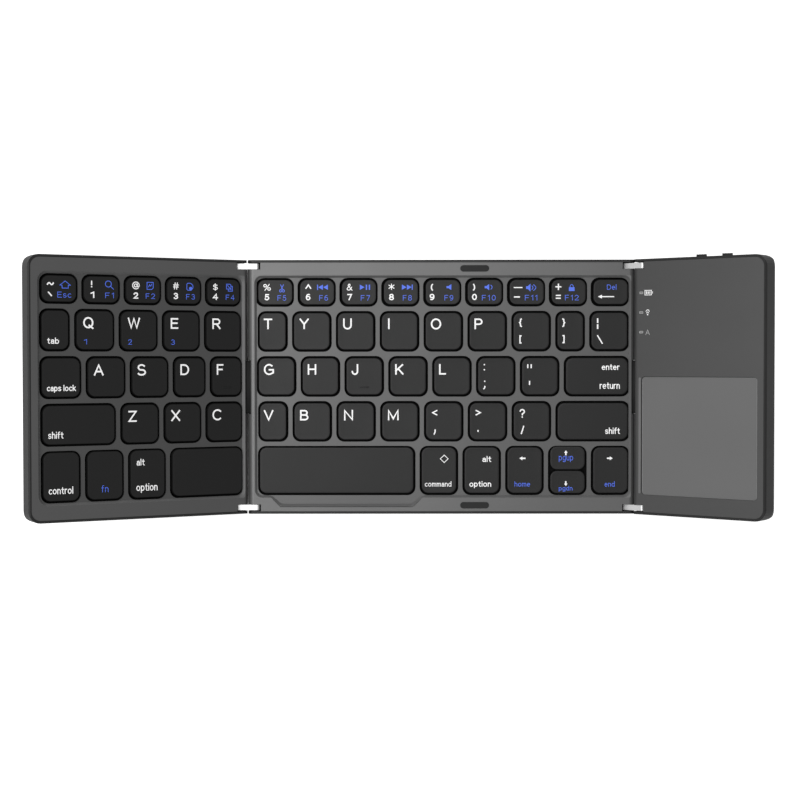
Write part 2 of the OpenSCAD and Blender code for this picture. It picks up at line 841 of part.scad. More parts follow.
// Board with its chips, the three lamps under the indicator windows and the two slide switches
module main_board() color("forestgreen") on_right() {
    block([board_x, board_end], [board_front, board_rear], [board_z - board_t, board_z]);
    chip(board_x + 16.5, board_front + 8.5, 7, 7, 0.9);
    chip(board_end - 14, board_front + 3, 10, 8, 1.6);
    for (y = light_ys) chip(light_x, y - 0.4, light_l, 0.8, 0.6);
    slide_switch(power_x);
    slide_switch(mode_x);
}

module chip(x, y, w, d, h) {
    block([x, x + w], [y, y + d], [board_z - slack, board_z + h]);
}

module battery() color("lightsteelblue") on_right() {
    middle = pad_x + pad_w / 2;
    rear = board_front - 6;
    slab_of(round_box(middle - battery_w / 2, middle + battery_w / 2, rear - battery_l, rear, 2, 2),
        floor_z, floor_z + battery_t);
    block([middle + 6, middle + 12], [rear - 1, board_front], [board_z - board_t, board_z - board_t + 0.4]);
}

module port_outline(less) {
    polygon(round_box(less - port_w / 2, port_w / 2 - less, less - port_h / 2, port_h / 2 - less,
        port_h / 2 - less - slack, port_h / 2 - less - slack));
}

// Metal shell with a tongue for the plug
module charging_port() color("lightgray") on_right() {
    front = panel_d / 2 - 0.3;
    translate([port_x, front - port_l / 2, port_z]) difference() {
        along_y(port_l) port_outline(0);
        translate([0, 1.5, 0]) along_y(port_l) port_outline(0.3);
    }
    block([port_x - port_w / 2 + 1.3, port_x + port_w / 2 - 1.3], [front - port_l + 1, front - 1.2],
        [port_z - 0.35, port_z + 0.35]);
}

// Housing of one slide switch with a channel for the knob's stem
stem_w = 1.6;
stem_h = 0.7;
module slide_switch(x) {
    middle = x + (knob_w + knob_travel) / 2;
    rear = board_rear - 0.1;
    difference() {
        block([middle - 3.5, middle + 3.5], [rear - 3, rear], [board_z - slack, board_z + 2.2]);
        block([x + (knob_w - stem_w) / 2 - fit_gap, x + (knob_w + stem_w) / 2 + knob_travel + fit_gap],
            [rear - 1.2, rear + cut], [knob_z - stem_h / 2 - fit_gap, knob_z + stem_h / 2 + fit_gap]);
    }
}

// Ribbed knob with the stem that reaches into its switch
module knob(x) {
    stem_x = x + (knob_w - stem_w) / 2;
    difference() {
        block([x, x + knob_w], [panel_d / 2 - wall - 0.2, panel_d / 2 + knob_out],
            [knob_z - knob_h / 2, knob_z + knob_h / 2]);
        for (i = [1:3])
            block([x + i * knob_w / 4 - 0.2, x + i * knob_w / 4 + 0.2], [panel_d / 2 + knob_out - 0.3,
                panel_d / 2 + knob_out + cut], [knob_z - knob_h, knob_z + knob_h]);
    }
    block([stem_x, stem_x + stem_w], [board_rear - 1.2, panel_d / 2 - wall],
        [knob_z - stem_h / 2, knob_z + stem_h / 2]);
}

module power_switch_knob() color("black") on_right() {
    knob(power_x);
}

module mode_switch_knob() color("black") on_right() {
    knob(mode_x);
}

module right_feet() color("black") on_right() {
    foot_pads(right, pocket);
}

// Hinges. A link is drawn from its centre panel pin at X 0 to its wing pin.
module links(side) {
    for (s = [-1, 1]) translate([0, s * link_y, 0]) along_y(link_w) difference() {
        translate([side * link_pitch / 2, 0]) polygon(round_box(
            -link_pitch / 2 - link_tip, link_pitch / 2 + link_tip, -link_h / 2, link_h / 2,
            link_corner, link_corner
        ));
        circle(r = pin_r + 0.02, $fn = 48);
        translate([side * link_pitch, 0]) circle(r = pin_r + 0.02, $fn = 48);
    }
}

module pins(side) {
    for (x = [0, side * link_pitch], s = [-1, 1])
        rod(x, s > 0 ? [slot_y - pin_tail + link_side + fit_gap, panel_d / 2 - 0.4]
            : [0.4 - panel_d / 2, pin_tail - link_side - fit_gap - slot_y], 0, pin_r);
}

// A point beside a wing's fold line, turned with the wing and seen from the centre panel's pin
function turned(p, a) = [p[0] * cos(a) - p[1] * sin(a), p[0] * sin(a) + p[1] * cos(a)];
function wing_point(x, z, link_lift, wing_lift) =
    turned(turned([x - pin_x, z + pin_inset], wing_lift) + [link_pitch, 0], link_lift);

// Rubber sleeve between the notches of two panels, bent as they stand
module sleeve(side, link_lift, wing_lift) {
    top = -sleeve_drop;
    low = floor_z + 2 * ribbon_t;
    centre_edge = pin_x - sleeve_reach;
    points = [
        [centre_edge, low + pin_inset], [centre_edge, top + pin_inset],
        wing_point(sleeve_reach, top, link_lift, wing_lift),
        wing_point(sleeve_reach, low, link_lift, wing_lift)
    ];
    along_y(sleeve_l) polygon([for (p = points) [side * p[0], p[1]]]);
}

module left_hinge_links() color("silver") on_links(-1, left_link_lift) {
    links(-1);
}

module left_hinge_pins() color("silver") on_links(-1, left_link_lift) {
    pins(-1);
}

module left_cable_sleeve() color("black") on_links(-1, 0) {
    sleeve(-1, left_link_lift, left_wing_lift);
}

module right_hinge_links() color("silver") on_links(1, right_link_lift) {
    links(1);
}

module right_hinge_pins() color("silver") on_links(1, right_link_lift) {
    pins(1);
}

module right_cable_sleeve() color("black") on_links(1, 0) {
    sleeve(1, right_link_lift, right_wing_lift);
}

// Keys of the left wing
module left_keys(r, columns) {
    color([0.13, 0.13, 0.14]) on_left() caps(caps_of(left_rows, r), columns);
}

module tab_key() left_keys(1, [0]);
module caps_lock_key() left_keys(2, [0]);
module left_shift_key() left_keys(3, [0]);
module control_key() left_keys(4, [0]);
module fn_key() left_keys(4, [1]);
module left_option_key() left_keys(4, [2]);
module left_space_key() left_keys(4, [3]);
module left_number_keys() left_keys(0, [0:4]);
module left_upper_keys() left_keys(1, [1:4]);
module left_home_keys() {
    left_keys(2, [1:4]);
    color([0.13, 0.13, 0.14]) on_left() homing_bar(caps_of(left_rows, 2)[4]);
}
module left_lower_keys() left_keys(3, [1:3]);

// Keys of the centre panel
module centre_keys(r, columns) {
    color([0.13, 0.13, 0.14]) on_centre() caps(caps_of(centre_rows, r), columns);
}

module backspace_key() centre_keys(0, [8]);
module enter_key() centre_keys(2, [7]);
module right_shift_key() centre_keys(3, [7]);
module right_space_key() centre_keys(4, [0]);
module command_key() centre_keys(4, [1]);
module right_option_key() centre_keys(4, [2]);
module left_arrow_key() centre_keys(4, [3]);
module up_arrow_key() color([0.13, 0.13, 0.14]) on_centre() cap(arrow_halves()[0]);
module down_arrow_key() color([0.13, 0.13, 0.14]) on_centre() cap(arrow_halves()[1]);
module right_arrow_key() centre_keys(4, [5]);
module centre_number_keys() centre_keys(0, [0:7]);
module centre_upper_keys() centre_keys(1, [0:8]);
module centre_home_keys() {
    centre_keys(2, [0:6]);
    color([0.13, 0.13, 0.14]) on_centre() homing_bar(caps_of(centre_rows, 2)[2]);
}
module centre_lower_keys() centre_keys(3, [0:6]);

centre_bottom_cover();
centre_top_frame();
centre_key_web();
centre_base_plate();
centre_membrane();
centre_rubber_domes();
centre_key_lifts();
centre_feet();
fold_bumpers();
ribbon_cable();
left_bottom_cover();
left_top_frame();
left_key_web();
left_base_plate();
left_membrane();
left_rubber_domes();
left_key_lifts();
left_feet();
right_bottom_cover();
right_top_cover();
touchpad_surface();
touchpad_board();
main_board();
battery();
charging_port();
indicator_lights();
right_feet();
power_switch_knob();
mode_switch_knob();
left_hinge_links();
left_hinge_pins();
left_cable_sleeve();
right_hinge_links();
right_hinge_pins();
right_cable_sleeve();
tab_key();
caps_lock_key();
left_shift_key();
control_key();
fn_key();
left_option_key();
left_space_key();
left_number_keys();
left_upper_keys();
left_home_keys();
left_lower_keys();
backspace_key();
enter_key();
right_shift_key();
right_space_key();
command_key();
right_option_key();
left_arrow_key();
up_arrow_key();
down_arrow_key();
right_arrow_key();
centre_number_keys();
centre_upper_keys();
centre_home_keys();
centre_lower_keys();
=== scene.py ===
import math
import json
import bpy
import bmesh
from mathutils import Matrix, Vector


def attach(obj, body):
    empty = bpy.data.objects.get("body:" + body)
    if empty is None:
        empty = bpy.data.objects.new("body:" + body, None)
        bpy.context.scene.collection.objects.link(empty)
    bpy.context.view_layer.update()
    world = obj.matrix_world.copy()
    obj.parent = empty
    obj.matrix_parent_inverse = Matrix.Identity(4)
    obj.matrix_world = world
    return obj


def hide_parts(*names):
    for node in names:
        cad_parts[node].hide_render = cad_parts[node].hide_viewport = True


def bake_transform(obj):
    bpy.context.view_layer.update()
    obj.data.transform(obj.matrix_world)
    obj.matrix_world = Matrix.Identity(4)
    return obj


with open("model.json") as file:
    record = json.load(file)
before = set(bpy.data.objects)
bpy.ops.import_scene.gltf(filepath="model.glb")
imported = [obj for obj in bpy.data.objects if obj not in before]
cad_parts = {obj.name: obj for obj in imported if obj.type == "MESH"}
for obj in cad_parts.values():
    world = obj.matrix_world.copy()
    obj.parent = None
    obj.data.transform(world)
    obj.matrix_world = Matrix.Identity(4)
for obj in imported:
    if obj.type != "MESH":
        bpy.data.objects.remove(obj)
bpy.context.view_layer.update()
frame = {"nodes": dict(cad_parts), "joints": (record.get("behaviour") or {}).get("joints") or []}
print("folding keyboard: the frame is in")

mm = 0.001
scene = bpy.context.scene
joints = {j["name"]: j for j in frame["joints"]}


# where each panel lies: x across, y to the rear, z out of its top face

def panelPlace(origin, across):
    rear = Vector((0, 1, 0))
    out = across.cross(rear)
    place = Matrix((across, rear, out)).transposed().to_4x4()
    place.translation = origin
    return place


hinge = {"fromFold": 2.225, "belowTop": 2.05}


def makePlaces():
    leftPin = Vector(joints["left_link_fold"]["pos_m"])
    rightPin = Vector(joints["right_link_fold"]["pos_m"])
    middle = (leftPin + rightPin) / 2 + Vector((0, 0, hinge["belowTop"] * mm))
    leftUp = -Vector(joints["tab_key_press"]["axis"])
    leftAcross = Vector((0, 1, 0)).cross(leftUp)
    rightAcross = Vector(joints["power_switch_slide"]["axis"])
    rightUp = rightAcross.cross(Vector((0, 1, 0)))
    leftFold = Vector(joints["left_wing_fold"]["pos_m"])
    rightFold = Vector(joints["right_wing_fold"]["pos_m"])
    leftAt = leftFold + leftAcross * hinge["fromFold"] * mm + leftUp * hinge["belowTop"] * mm
    rightAt = rightFold - rightAcross * hinge["fromFold"] * mm + rightUp * hinge["belowTop"] * mm
    return {
        "centre": panelPlace(middle, Vector((1, 0, 0))),
        "left": panelPlace(leftAt, leftAcross),
        "right": panelPlace(rightAt, rightAcross),
    }


places = makePlaces()


def addPiece(name, mesh, place, body, materials, replaces=()):
    piece = bpy.data.objects.new(name, mesh)
    scene.collection.objects.link(piece)
    mesh.transform(place)
    for material in materials:
        mesh.materials.append(material)
    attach(piece, body)
    if replaces:
        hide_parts(*replaces)
    return piece


# shader node groups shared by the finishes

def newGroup(name, inputs, outputs):
    group = bpy.data.node_groups.new(name, "ShaderNodeTree")
    for label, value in inputs:
        socket = group.interface.new_socket(label, in_out="INPUT", socket_type="NodeSocketFloat")
        socket.default_value = value
    for label in outputs:
        group.interface.new_socket(label, in_out="OUTPUT", socket_type="NodeSocketFloat")
    return group, group.nodes.new("NodeGroupInput"), group.nodes.new("NodeGroupOutput")


def mathNode(nodes, operation, first=None, second=None, clamp=False):
    node = nodes.new("ShaderNodeMath")
    node.operation = operation
    node.use_clamp = clamp
    if first is not None:
        node.inputs[0].default_value = first
    if second is not None:
        node.inputs[1].default_value = second
    return node


def makeMouldGrain():
    group, entry, exit = newGroup("mouldGrain", [("Scale", 4000), ("Depth", 1)], ["Height", "Tint"])
    nodes, link = group.nodes, group.links.new
    where = nodes.new("ShaderNodeTexCoord")
    fine = nodes.new("ShaderNodeTexNoise")
    fine.inputs["Detail"].default_value = 3
    cells = nodes.new("ShaderNodeTexVoronoi")
    broad = nodes.new("ShaderNodeTexNoise")
    broad.inputs["Scale"].default_value = 18
    broad.inputs["Detail"].default_value = 2
    link(where.outputs["Object"], fine.inputs["Vector"])
    link(where.outputs["Object"], cells.inputs["Vector"])
    link(where.outputs["Object"], broad.inputs["Vector"])
    link(entry.outputs["Scale"], fine.inputs["Scale"])
    link(entry.outputs["Scale"], cells.inputs["Scale"])
    both = mathNode(nodes, "ADD")
    link(fine.outputs["Fac"], both.inputs[0])
    link(cells.outputs["Distance"], both.inputs[1])
    deep = mathNode(nodes, "MULTIPLY")
    link(both.outputs[0], deep.inputs[0])
    link(entry.outputs["Depth"], deep.inputs[1])
    link(deep.outputs[0], exit.inputs["Height"])
    link(broad.outputs["Fac"], exit.inputs["Tint"])
    return group


def makeHandWear():
    group, entry, exit = newGroup("handWear", [("Scale", 60), ("Amount", 0.3)], ["Mask"])
    nodes, link = group.nodes, group.links.new
    where = nodes.new("ShaderNodeTexCoord")
    patches = nodes.new("ShaderNodeTexNoise")
    patches.inputs["Detail"].default_value = 5
    patches.inputs["Roughness"].default_value = 0.6
    link(where.outputs["Object"], patches.inputs["Vector"])
    link(entry.outputs["Scale"], patches.inputs["Scale"])
    range_ = nodes.new("ShaderNodeMapRange")
    range_.inputs["From Min"].default_value = 0.45
    range_.inputs["From Max"].default_value = 0.75
    link(patches.outputs["Fac"], range_.inputs["Value"])
    share = mathNode(nodes, "MULTIPLY", clamp=True)
    link(range_.outputs["Result"], share.inputs[0])
    link(entry.outputs["Amount"], share.inputs[1])
    link(share.outputs[0], exit.inputs["Mask"])
    return group


mouldGrain = makeMouldGrain()
handWear = makeHandWear()


def grey(level):
    s = level / 255
    linear = s / 12.92 if s <= 0.04045 else ((s + 0.055) / 1.055) ** 2.4
    return (linear, linear, linear, 1)


def colourOf(red, green, blue):
    return tuple(grey(c)[0] for c in (red, green, blue)) + (1,)


def makeFinish(name, colour, tone=0.12, roughness=0.5, spread=0.1, metallic=0.0, coat=0.0,
               grainScale=4000, grainDepth=0.1, wearScale=60, wear=0.3, specular=0.5, glow=0.0):
    material = bpy.data.materials.new(name)
    material.use_nodes = True
    nodes, link = material.node_tree.nodes, material.node_tree.links.new
    shader = nodes["Principled BSDF"]
    shader.inputs["Metallic"].default_value = metallic
    shader.inputs["Coat Weight"].default_value = coat
    shader.inputs["Specular IOR Level"].default_value = specular
    shader.inputs["Emission Color"].default_value = colour
    shader.inputs["Emission Strength"].default_value = glow
    grain = nodes.new("ShaderNodeGroup")
    grain.node_tree = mouldGrain
    grain.inputs["Scale"].default_value = grainScale
    grain.inputs["Depth"].default_value = 1
    rub = nodes.new("ShaderNodeGroup")
    rub.node_tree = handWear
    rub.inputs["Scale"].default_value = wearScale
    rub.inputs["Amount"].default_value = wear
    tint = nodes.new("ShaderNodeMix")
    tint.data_type = "RGBA"
    tint.inputs["A"].default_value = tuple(c * (1 - tone) for c in colour[:3]) + (1,)
    tint.inputs["B"].default_value = tuple(min(1, c * (1 + tone)) for c in colour[:3]) + (1,)
    link(grain.outputs["Tint"], tint.inputs["Factor"])
    link(tint.outputs["Result"], shader.inputs["Base Color"])
    gloss = nodes.new("ShaderNodeMapRange")
    gloss.inputs["To Min"].default_value = roughness
    gloss.inputs["To Max"].default_value = max(0.03, roughness - spread)
    link(rub.outputs["Mask"], gloss.inputs["Value"])
    link(gloss.outputs["Result"], shader.inputs["Roughness"])
    bump = nodes.new("ShaderNodeBump")
    bump.inputs["Strength"].default_value = grainDepth
    bump.inputs["Distance"].default_value = 0.00005
    link(grain.outputs["Height"], bump.inputs["Height"])
    link(bump.outputs["Normal"], shader.inputs["Normal"])
    return material


finishes = {
    "cover_plastic": makeFinish("coverPlastic", grey(92), roughness=0.4, metallic=0.5),
    "frame_plastic": makeFinish("framePlastic", grey(104), roughness=0.4, metallic=0.5),
    # the key web is a darker copy of the frame finish: painted shade in the recess between the keys
    "web_plastic": makeFinish("shadedWebPlastic", grey(95), roughness=0.42, metallic=0.5),
    "key_plastic": makeFinish("keyPlastic", grey(33), roughness=0.42, specular=0.29),
    # the caps' walls and edge round-overs take a darker, duller copy of the key plastic: painted shade round each cap
    "key_flank": makeFinish("keyFlank", grey(24), roughness=0.75, specular=0.08),
    "base_plastic": makeFinish("basePlastic", grey(60), roughness=0.45, metallic=0.7, specular=0.3),
    "pin_steel": makeFinish("pinSteel", grey(58), roughness=0.5, metallic=0.4),
    "plate_steel": makeFinish("plateSteel", grey(150), roughness=0.35, metallic=1.0),
    "membrane_film": makeFinish("membraneFilm", grey(26), roughness=0.8, specular=0.1),
    "dome_rubber": makeFinish("domeRubber", grey(170), roughness=0.6),
    "lift_plastic": makeFinish("liftPlastic", grey(190), roughness=0.45),
    "foot_rubber": makeFinish("footRubber", grey(38), roughness=0.8),
    "sleeve_rubber": makeFinish("sleeveRubber", grey(26), roughness=0.6),
    "ribbon_film": makeFinish("ribbonFilm", colourOf(150, 96, 40), roughness=0.35),
    "touchpad_film": makeFinish("touchpadFilm", grey(112), roughness=0.42),
    "board_laminate": makeFinish("boardLaminate", colourOf(30, 74, 46), roughness=0.4),
    "battery_pouch": makeFinish("batteryPouch", grey(170), roughness=0.35, metallic=0.8),
    "port_metal": makeFinish("portMetal", grey(170), roughness=0.3, metallic=1.0),
    "window_plastic": makeFinish("windowPlastic", grey(170), roughness=0.3),
    # the white and blue print glow a little: painted light that makes the marks read brighter than their colour
    # allows
    "key_print": makeFinish("keyPrint", grey(250), tone=0.02, roughness=0.5, grainDepth=0.05, glow=0.22),
    "blue_print": makeFinish("bluePrint", colourOf(84, 118, 240), tone=0.05, roughness=0.5, grainDepth=0.05,
                             glow=0.15),
    "grey_print": makeFinish("greyPrint", grey(190), tone=0.05, roughness=0.5, grainDepth=0.05),
    "pad_lip": makeFinish("padLip", grey(128), roughness=0.4, metallic=0.4),
    "lamp_shade": makeFinish("lampShade", grey(120), roughness=0.3),
    "knob_plastic": makeFinish("knobPlastic", grey(30), roughness=0.5),
    "hinge_chrome": makeFinish("hingeChrome", grey(240), roughness=0.4, metallic=0.55),
    "field_step": makeFinish("fieldStep", grey(118), roughness=0.5, metallic=0.2),
}

# nodes whose finish differs from the rest of their material; the key web's darker finish is painted shade in the
# recess between the keys
ownFinish = {"key_web": "web_plastic", "hinge_pins": "pin_steel", "bottom_cover": "base_plastic",
             "right_top_cover": "cover_plastic"}

for name, piece in frame["nodes"].items():
    for part in piece.material_slots:
        label = part.material.name.split(".")[0]
        for ending, finish in ownFinish.items():
            label = finish if name.endswith(ending) else label
        part.material = finishes[label]
print("folding keyboard: finishes are on", len(frame["nodes"]), "nodes")

# the key caps: each row is (width, node), laid out from the panel's first key space

keyRows = {
    "rear": [37.4, 25.95, 10.35, -5.25, -20.62],
    "deep": [9.15, 13.3, 13.3, 13.3, 16.5],
    "gap": [2.05, 2.25, 2.25, 2.25, 2.25],
    "leftStart": [-73.3, -73.4, -73.4, -73.2, -73.1],
    "centreStart": [-63.7, -63.3, -63.6, -63.2, -63.3],
}
leftWidths = [
    [12.1, 12.45, 12.45, 12.45, 12.45],
    [9.5, 12.95, 12.95, 12.95, 12.95],
    [13.3, 12.95, 12.95, 11.2, 11.2],
    [24.9, 12.95, 12.95, 12.95],
    [12.6, 12.6, 12.6, 26.1],
]
centreWidths = [
    [12.45] * 9,
    [9.7] + [12.95] * 6 + [9.5, 13],
    [12.95] * 7 + [22],
    [9.7] + [12.95] * 6 + [24.9],
    [53.9] + [12.6] * 5,
]
leftNodes = [
    ["left_number_keys"] * 5,
    ["tab_key"] + ["left_upper_keys"] * 4,
    ["caps_lock_key"] + ["left_home_keys"] * 4,
    ["left_shift_key"] + ["left_lower_keys"] * 3,
    ["control_key", "fn_key", "left_option_key", "left_space_key"],
]
centreNodes = [
    ["centre_number_keys"] * 8 + ["backspace_key"],
    ["centre_upper_keys"] * 9,
    ["centre_home_keys"] * 7 + ["enter_key"],
    ["centre_lower_keys"] * 7 + ["right_shift_key"],
    ["right_space_key", "command_key", "right_option_key", "left_arrow_key", "arrows", "right_arrow_key"],
]


def keySpaces(panel):
    spaces = {}
    starts = keyRows[panel + "Start"]
    widths = leftWidths if panel == "left" else centreWidths
    names = leftNodes if panel == "left" else centreNodes
    for row in range(5):
        x = starts[row]
        rear = keyRows["rear"][row]
        front = rear - keyRows["deep"][row]
        for column, (width, node) in enumerate(zip(widths[row], names[row])):
            space = [x, x + width, front, rear]
            if node == "arrows":
                middle = (front + rear) / 2
                spaces[(row, column, 0)] = ("up_arrow_key", [x, x + width, middle - 0.1, rear + 0.3])
                spaces[(row, column, 1)] = ("down_arrow_key", [x, x + width, front - 0.1, middle + 0.1])
            else:
                spaces[(row, column, 0)] = (node, space)
            x += width + keyRows["gap"][row]
    return spaces


keyShape = {
    "top": -0.3,        # mm above the panel's top face
    "bottom": -2.3,
    "inset": 0.12,      # from the key space
    "corner": 2.55,
    "edge": 0.3,        # round-over of the top edge
    "taper": 0.1,       # how far the walls lean in
    "dish": 0.05,
    "steps": 5,
}


def roundedLoop(x0, x1, y0, y1, radius, steps=8):
    radius = max(0.02, min(radius, (x1 - x0) / 2, (y1 - y0) / 2))
    loop = []
    for cx, cy, start in ((x1 - radius, y1 - radius, 0), (x0 + radius, y1 - radius, 90),
                          (x0 + radius, y0 + radius, 180), (x1 - radius, y0 + radius, 270)):
        for i in range(steps + 1):
            angle = math.radians(start + 90 * i / steps)
            loop.append((cx + radius * math.cos(angle), cy + radius * math.sin(angle)))
    return loop


def dishDepth(space, x):
    x0, x1 = space[0], space[1]
    if x1 - x0 > 15:
        return 0
    across = (x - (x0 + x1) / 2) / ((x1 - x0) / 2)
    return keyShape["dish"] * max(0, 1 - across * across)


def addCap(build, space):
    s = keyShape
    x0, x1, y0, y1 = space[0] + s["inset"], space[1] - s["inset"], space[2] + s["inset"], space[3] - s["inset"]
    rings = [(0.0, s["bottom"]), (s["taper"], s["top"] - s["edge"])]
    for i in range(1, s["steps"] + 1):
        angle = math.radians(90 * i / s["steps"])
        inward = s["taper"] + s["edge"] * (1 - math.cos(angle))
        rings.append((inward, s["top"] - s["edge"] * (1 - math.sin(angle))))
    flat = s["taper"] + s["edge"]
    rings += [(flat + 0.5, s["top"]), (flat + 1.5, s["top"]), (flat + 3.0, s["top"])]
    loops = []
    for inward, z in rings:
        loop = roundedLoop(x0 + inward, x1 - inward, y0 + inward, y1 - inward, s["corner"] - inward)
        ring = []
        for x, y in loop:
            sink = dishDepth(space, x) if z == s["top"] and inward >= flat else 0
            ring.append(build.verts.new((x * mm, y * mm, (z - sink) * mm)))
        loops.append(ring)
    count = len(loops[0])
    for level, (lower, upper) in enumerate(zip(loops, loops[1:])):
        for i in range(count):
            face = build.faces.new((lower[i], lower[(i + 1) % count], upper[(i + 1) % count], upper[i]))
            # walls and edge round-overs get the darker flank finish, which is painted shade; the top keeps the key
            # plastic
            face.material_index = 1 if level < s["steps"] else 0
    build.faces.new(loops[-1])
    build.faces.new(loops[0][::-1]).material_index = 1


def smooth(mesh):
    for face in mesh.polygons:
        face.use_smooth = True


def niceName(node):
    words = node.split("_")
    return words[0] + "".join(w.capitalize() for w in words[1:])


def addKeys(panel):
    caps = {}
    for key, (node, space) in keySpaces(panel).items():
        caps.setdefault(node, []).append(space)
    for node, spaces in caps.items():
        build = bmesh.new()
        for space in spaces:
            addCap(build, space)
        mesh = bpy.data.meshes.new(niceName(node) + "Cap")
        build.to_mesh(mesh)
        build.free()
        smooth(mesh)
        addPiece(mesh.name, mesh, places[panel], node, [finishes["key_plastic"], finishes["key_flank"]],
                 [node])
    print("folding keyboard:", panel, "panel has", sum(len(c) for c in caps.values()), "caps")


addKeys("left")
addKeys("centre")

# domes and lifts below the caps, split into one piece for each key

springs = {"rubber_domes": "dome_rubber", "key_lifts": "lift_plastic"}


def outside(space, point):
    x, y = point.x / mm, point.y / mm
    return max(space[0] - x, x - space[1], 0) + max(space[2] - y, y - space[3], 0)


def addSprings(panel):
    spaces = list(keySpaces(panel).values())
    turned = places[panel].inverted()
    for kind, finish in springs.items():
        source = frame["nodes"][panel + "_" + kind].data
        shares = {}
        for face in source.polygons:
            middle = turned @ face.center
            node = min(spaces, key=lambda s: outside(s[1], middle))[0]
            shares.setdefault(node, []).append(tuple(face.vertices))
        for node, faces in shares.items():
            used = sorted({i for face in faces for i in face})
            order = {i: number for number, i in enumerate(used)}
            mesh = bpy.data.meshes.new(niceName(node) + kind.split("_")[1].capitalize())
            mesh.from_pydata([source.vertices[i].co for i in used], [], [[order[i] for i in f] for f in faces])
            build = bmesh.new()
            build.from_mesh(mesh)
            bmesh.ops.remove_doubles(build, verts=build.verts, dist=1e-7)
            build.to_mesh(mesh)
            build.free()
            mesh.materials.append(finishes[finish])
            piece = bpy.data.objects.new(mesh.name, mesh)
            scene.collection.objects.link(piece)
            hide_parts(panel + "_" + kind)
            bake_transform(piece)
    print("folding keyboard:", panel, "panel has its domes and lifts")


addSprings("left")
addSprings("centre")

# what is printed on the caps, in mm from the rear left corner of the key's space: (what, x0, x1, y0, y1, ink)

leftMarks = {
    (0, 0, 0): [("~", 2.3, 4.65, 2.65, 3.7, "white"), ("`", 2.65, 4.0, 5.8, 7.25, "white"),
                ("#home", 6.5, 10.3, 2.1, 4.65, "blue"), ("Esc", 5.8, 10.4, 5.75, 7.65, "blue")],
    (0, 1, 0): [("!", 2.9, 3.5, 1.9, 4.1, "white"), ("1", 2.8, 4.1, 5.5, 7.6, "white"),
                ("#lens", 7.8, 10.8, 1.75, 4.7, "blue"), ("F1", 7.85, 10.8, 5.75, 7.55, "blue")],
    (0, 2, 0): [("@", 2.7, 5.3, 1.85, 4.45, "white"), ("2", 3.15, 4.8, 5.45, 7.6, "white"),
                ("#picture", 7.8, 10.2, 1.9, 4.5, "blue"), ("F2", 7.45, 10.7, 5.75, 7.55, "blue")],
    (0, 3, 0): [("#", 2.65, 4.7, 1.85, 4.2, "white"), ("3", 2.85, 4.45, 5.35, 7.5, "white"),
                ("#page", 7.5, 9.9, 1.9, 4.5, "blue"), ("F3", 7.35, 10.5, 5.7, 7.5, "blue")],
    (0, 4, 0): [("$", 2.65, 4.4, 1.85, 4.3, "white"), ("4", 2.5, 4.45, 5.3, 7.5, "white"),
                ("#pages", 7.5, 9.9, 1.9, 4.5, "blue"), ("F4", 7.35, 10.55, 5.65, 7.45, "blue")],
    (1, 0, 0): [("tab", 2.4, 6.35, 9.4, 11.45, "white")],
    (1, 1, 0): [("Q", 2.75, 6.25, 2.55, 6.5, "white"), ("1", 3.0, 4.0, 9.85, 11.6, "blue")],
    (1, 2, 0): [("W", 2.9, 7.2, 2.6, 6.25, "white"), ("2", 3.0, 4.3, 9.85, 11.6, "blue")],
    (1, 3, 0): [("E", 2.85, 5.55, 2.55, 6.2, "white"), ("3", 3.0, 4.3, 9.85, 11.6, "blue")],
    (1, 4, 0): [("R", 2.75, 5.75, 2.5, 6.15, "white")],
    (2, 0, 0): [("caps lock", 2.2, 11.9, 9.3, 11.85, "white")],
    (2, 1, 0): [("A", 2.5, 5.85, 2.6, 6.3, "white")],
    (2, 2, 0): [("S", 2.45, 5.4, 2.55, 6.4, "white")],
    (2, 3, 0): [("D", 2.45, 5.6, 2.6, 6.3, "white")],
    (2, 4, 0): [("F", 2.25, 4.7, 2.6, 6.25, "white")],
    (3, 0, 0): [("shift", 2.35, 7.4, 9.0, 11.3, "white")],
    (3, 1, 0): [("Z", 2.55, 5.45, 2.55, 6.3, "white")],
    (3, 2, 0): [("X", 2.5, 5.7, 2.55, 6.3, "white")],
    (3, 3, 0): [("C", 2.25, 5.45, 2.5, 6.35, "white")],
    (4, 0, 0): [("control", 2.3, 10.5, 11.55, 13.95, "white")],
    (4, 1, 0): [("fn", 5.3, 7.7, 11.55, 13.9, "blue")],
    (4, 2, 0): [("alt", 2.7, 5.5, 3.15, 5.4, "white"), ("option", 2.55, 10.05, 11.5, 14.6, "white")],
}
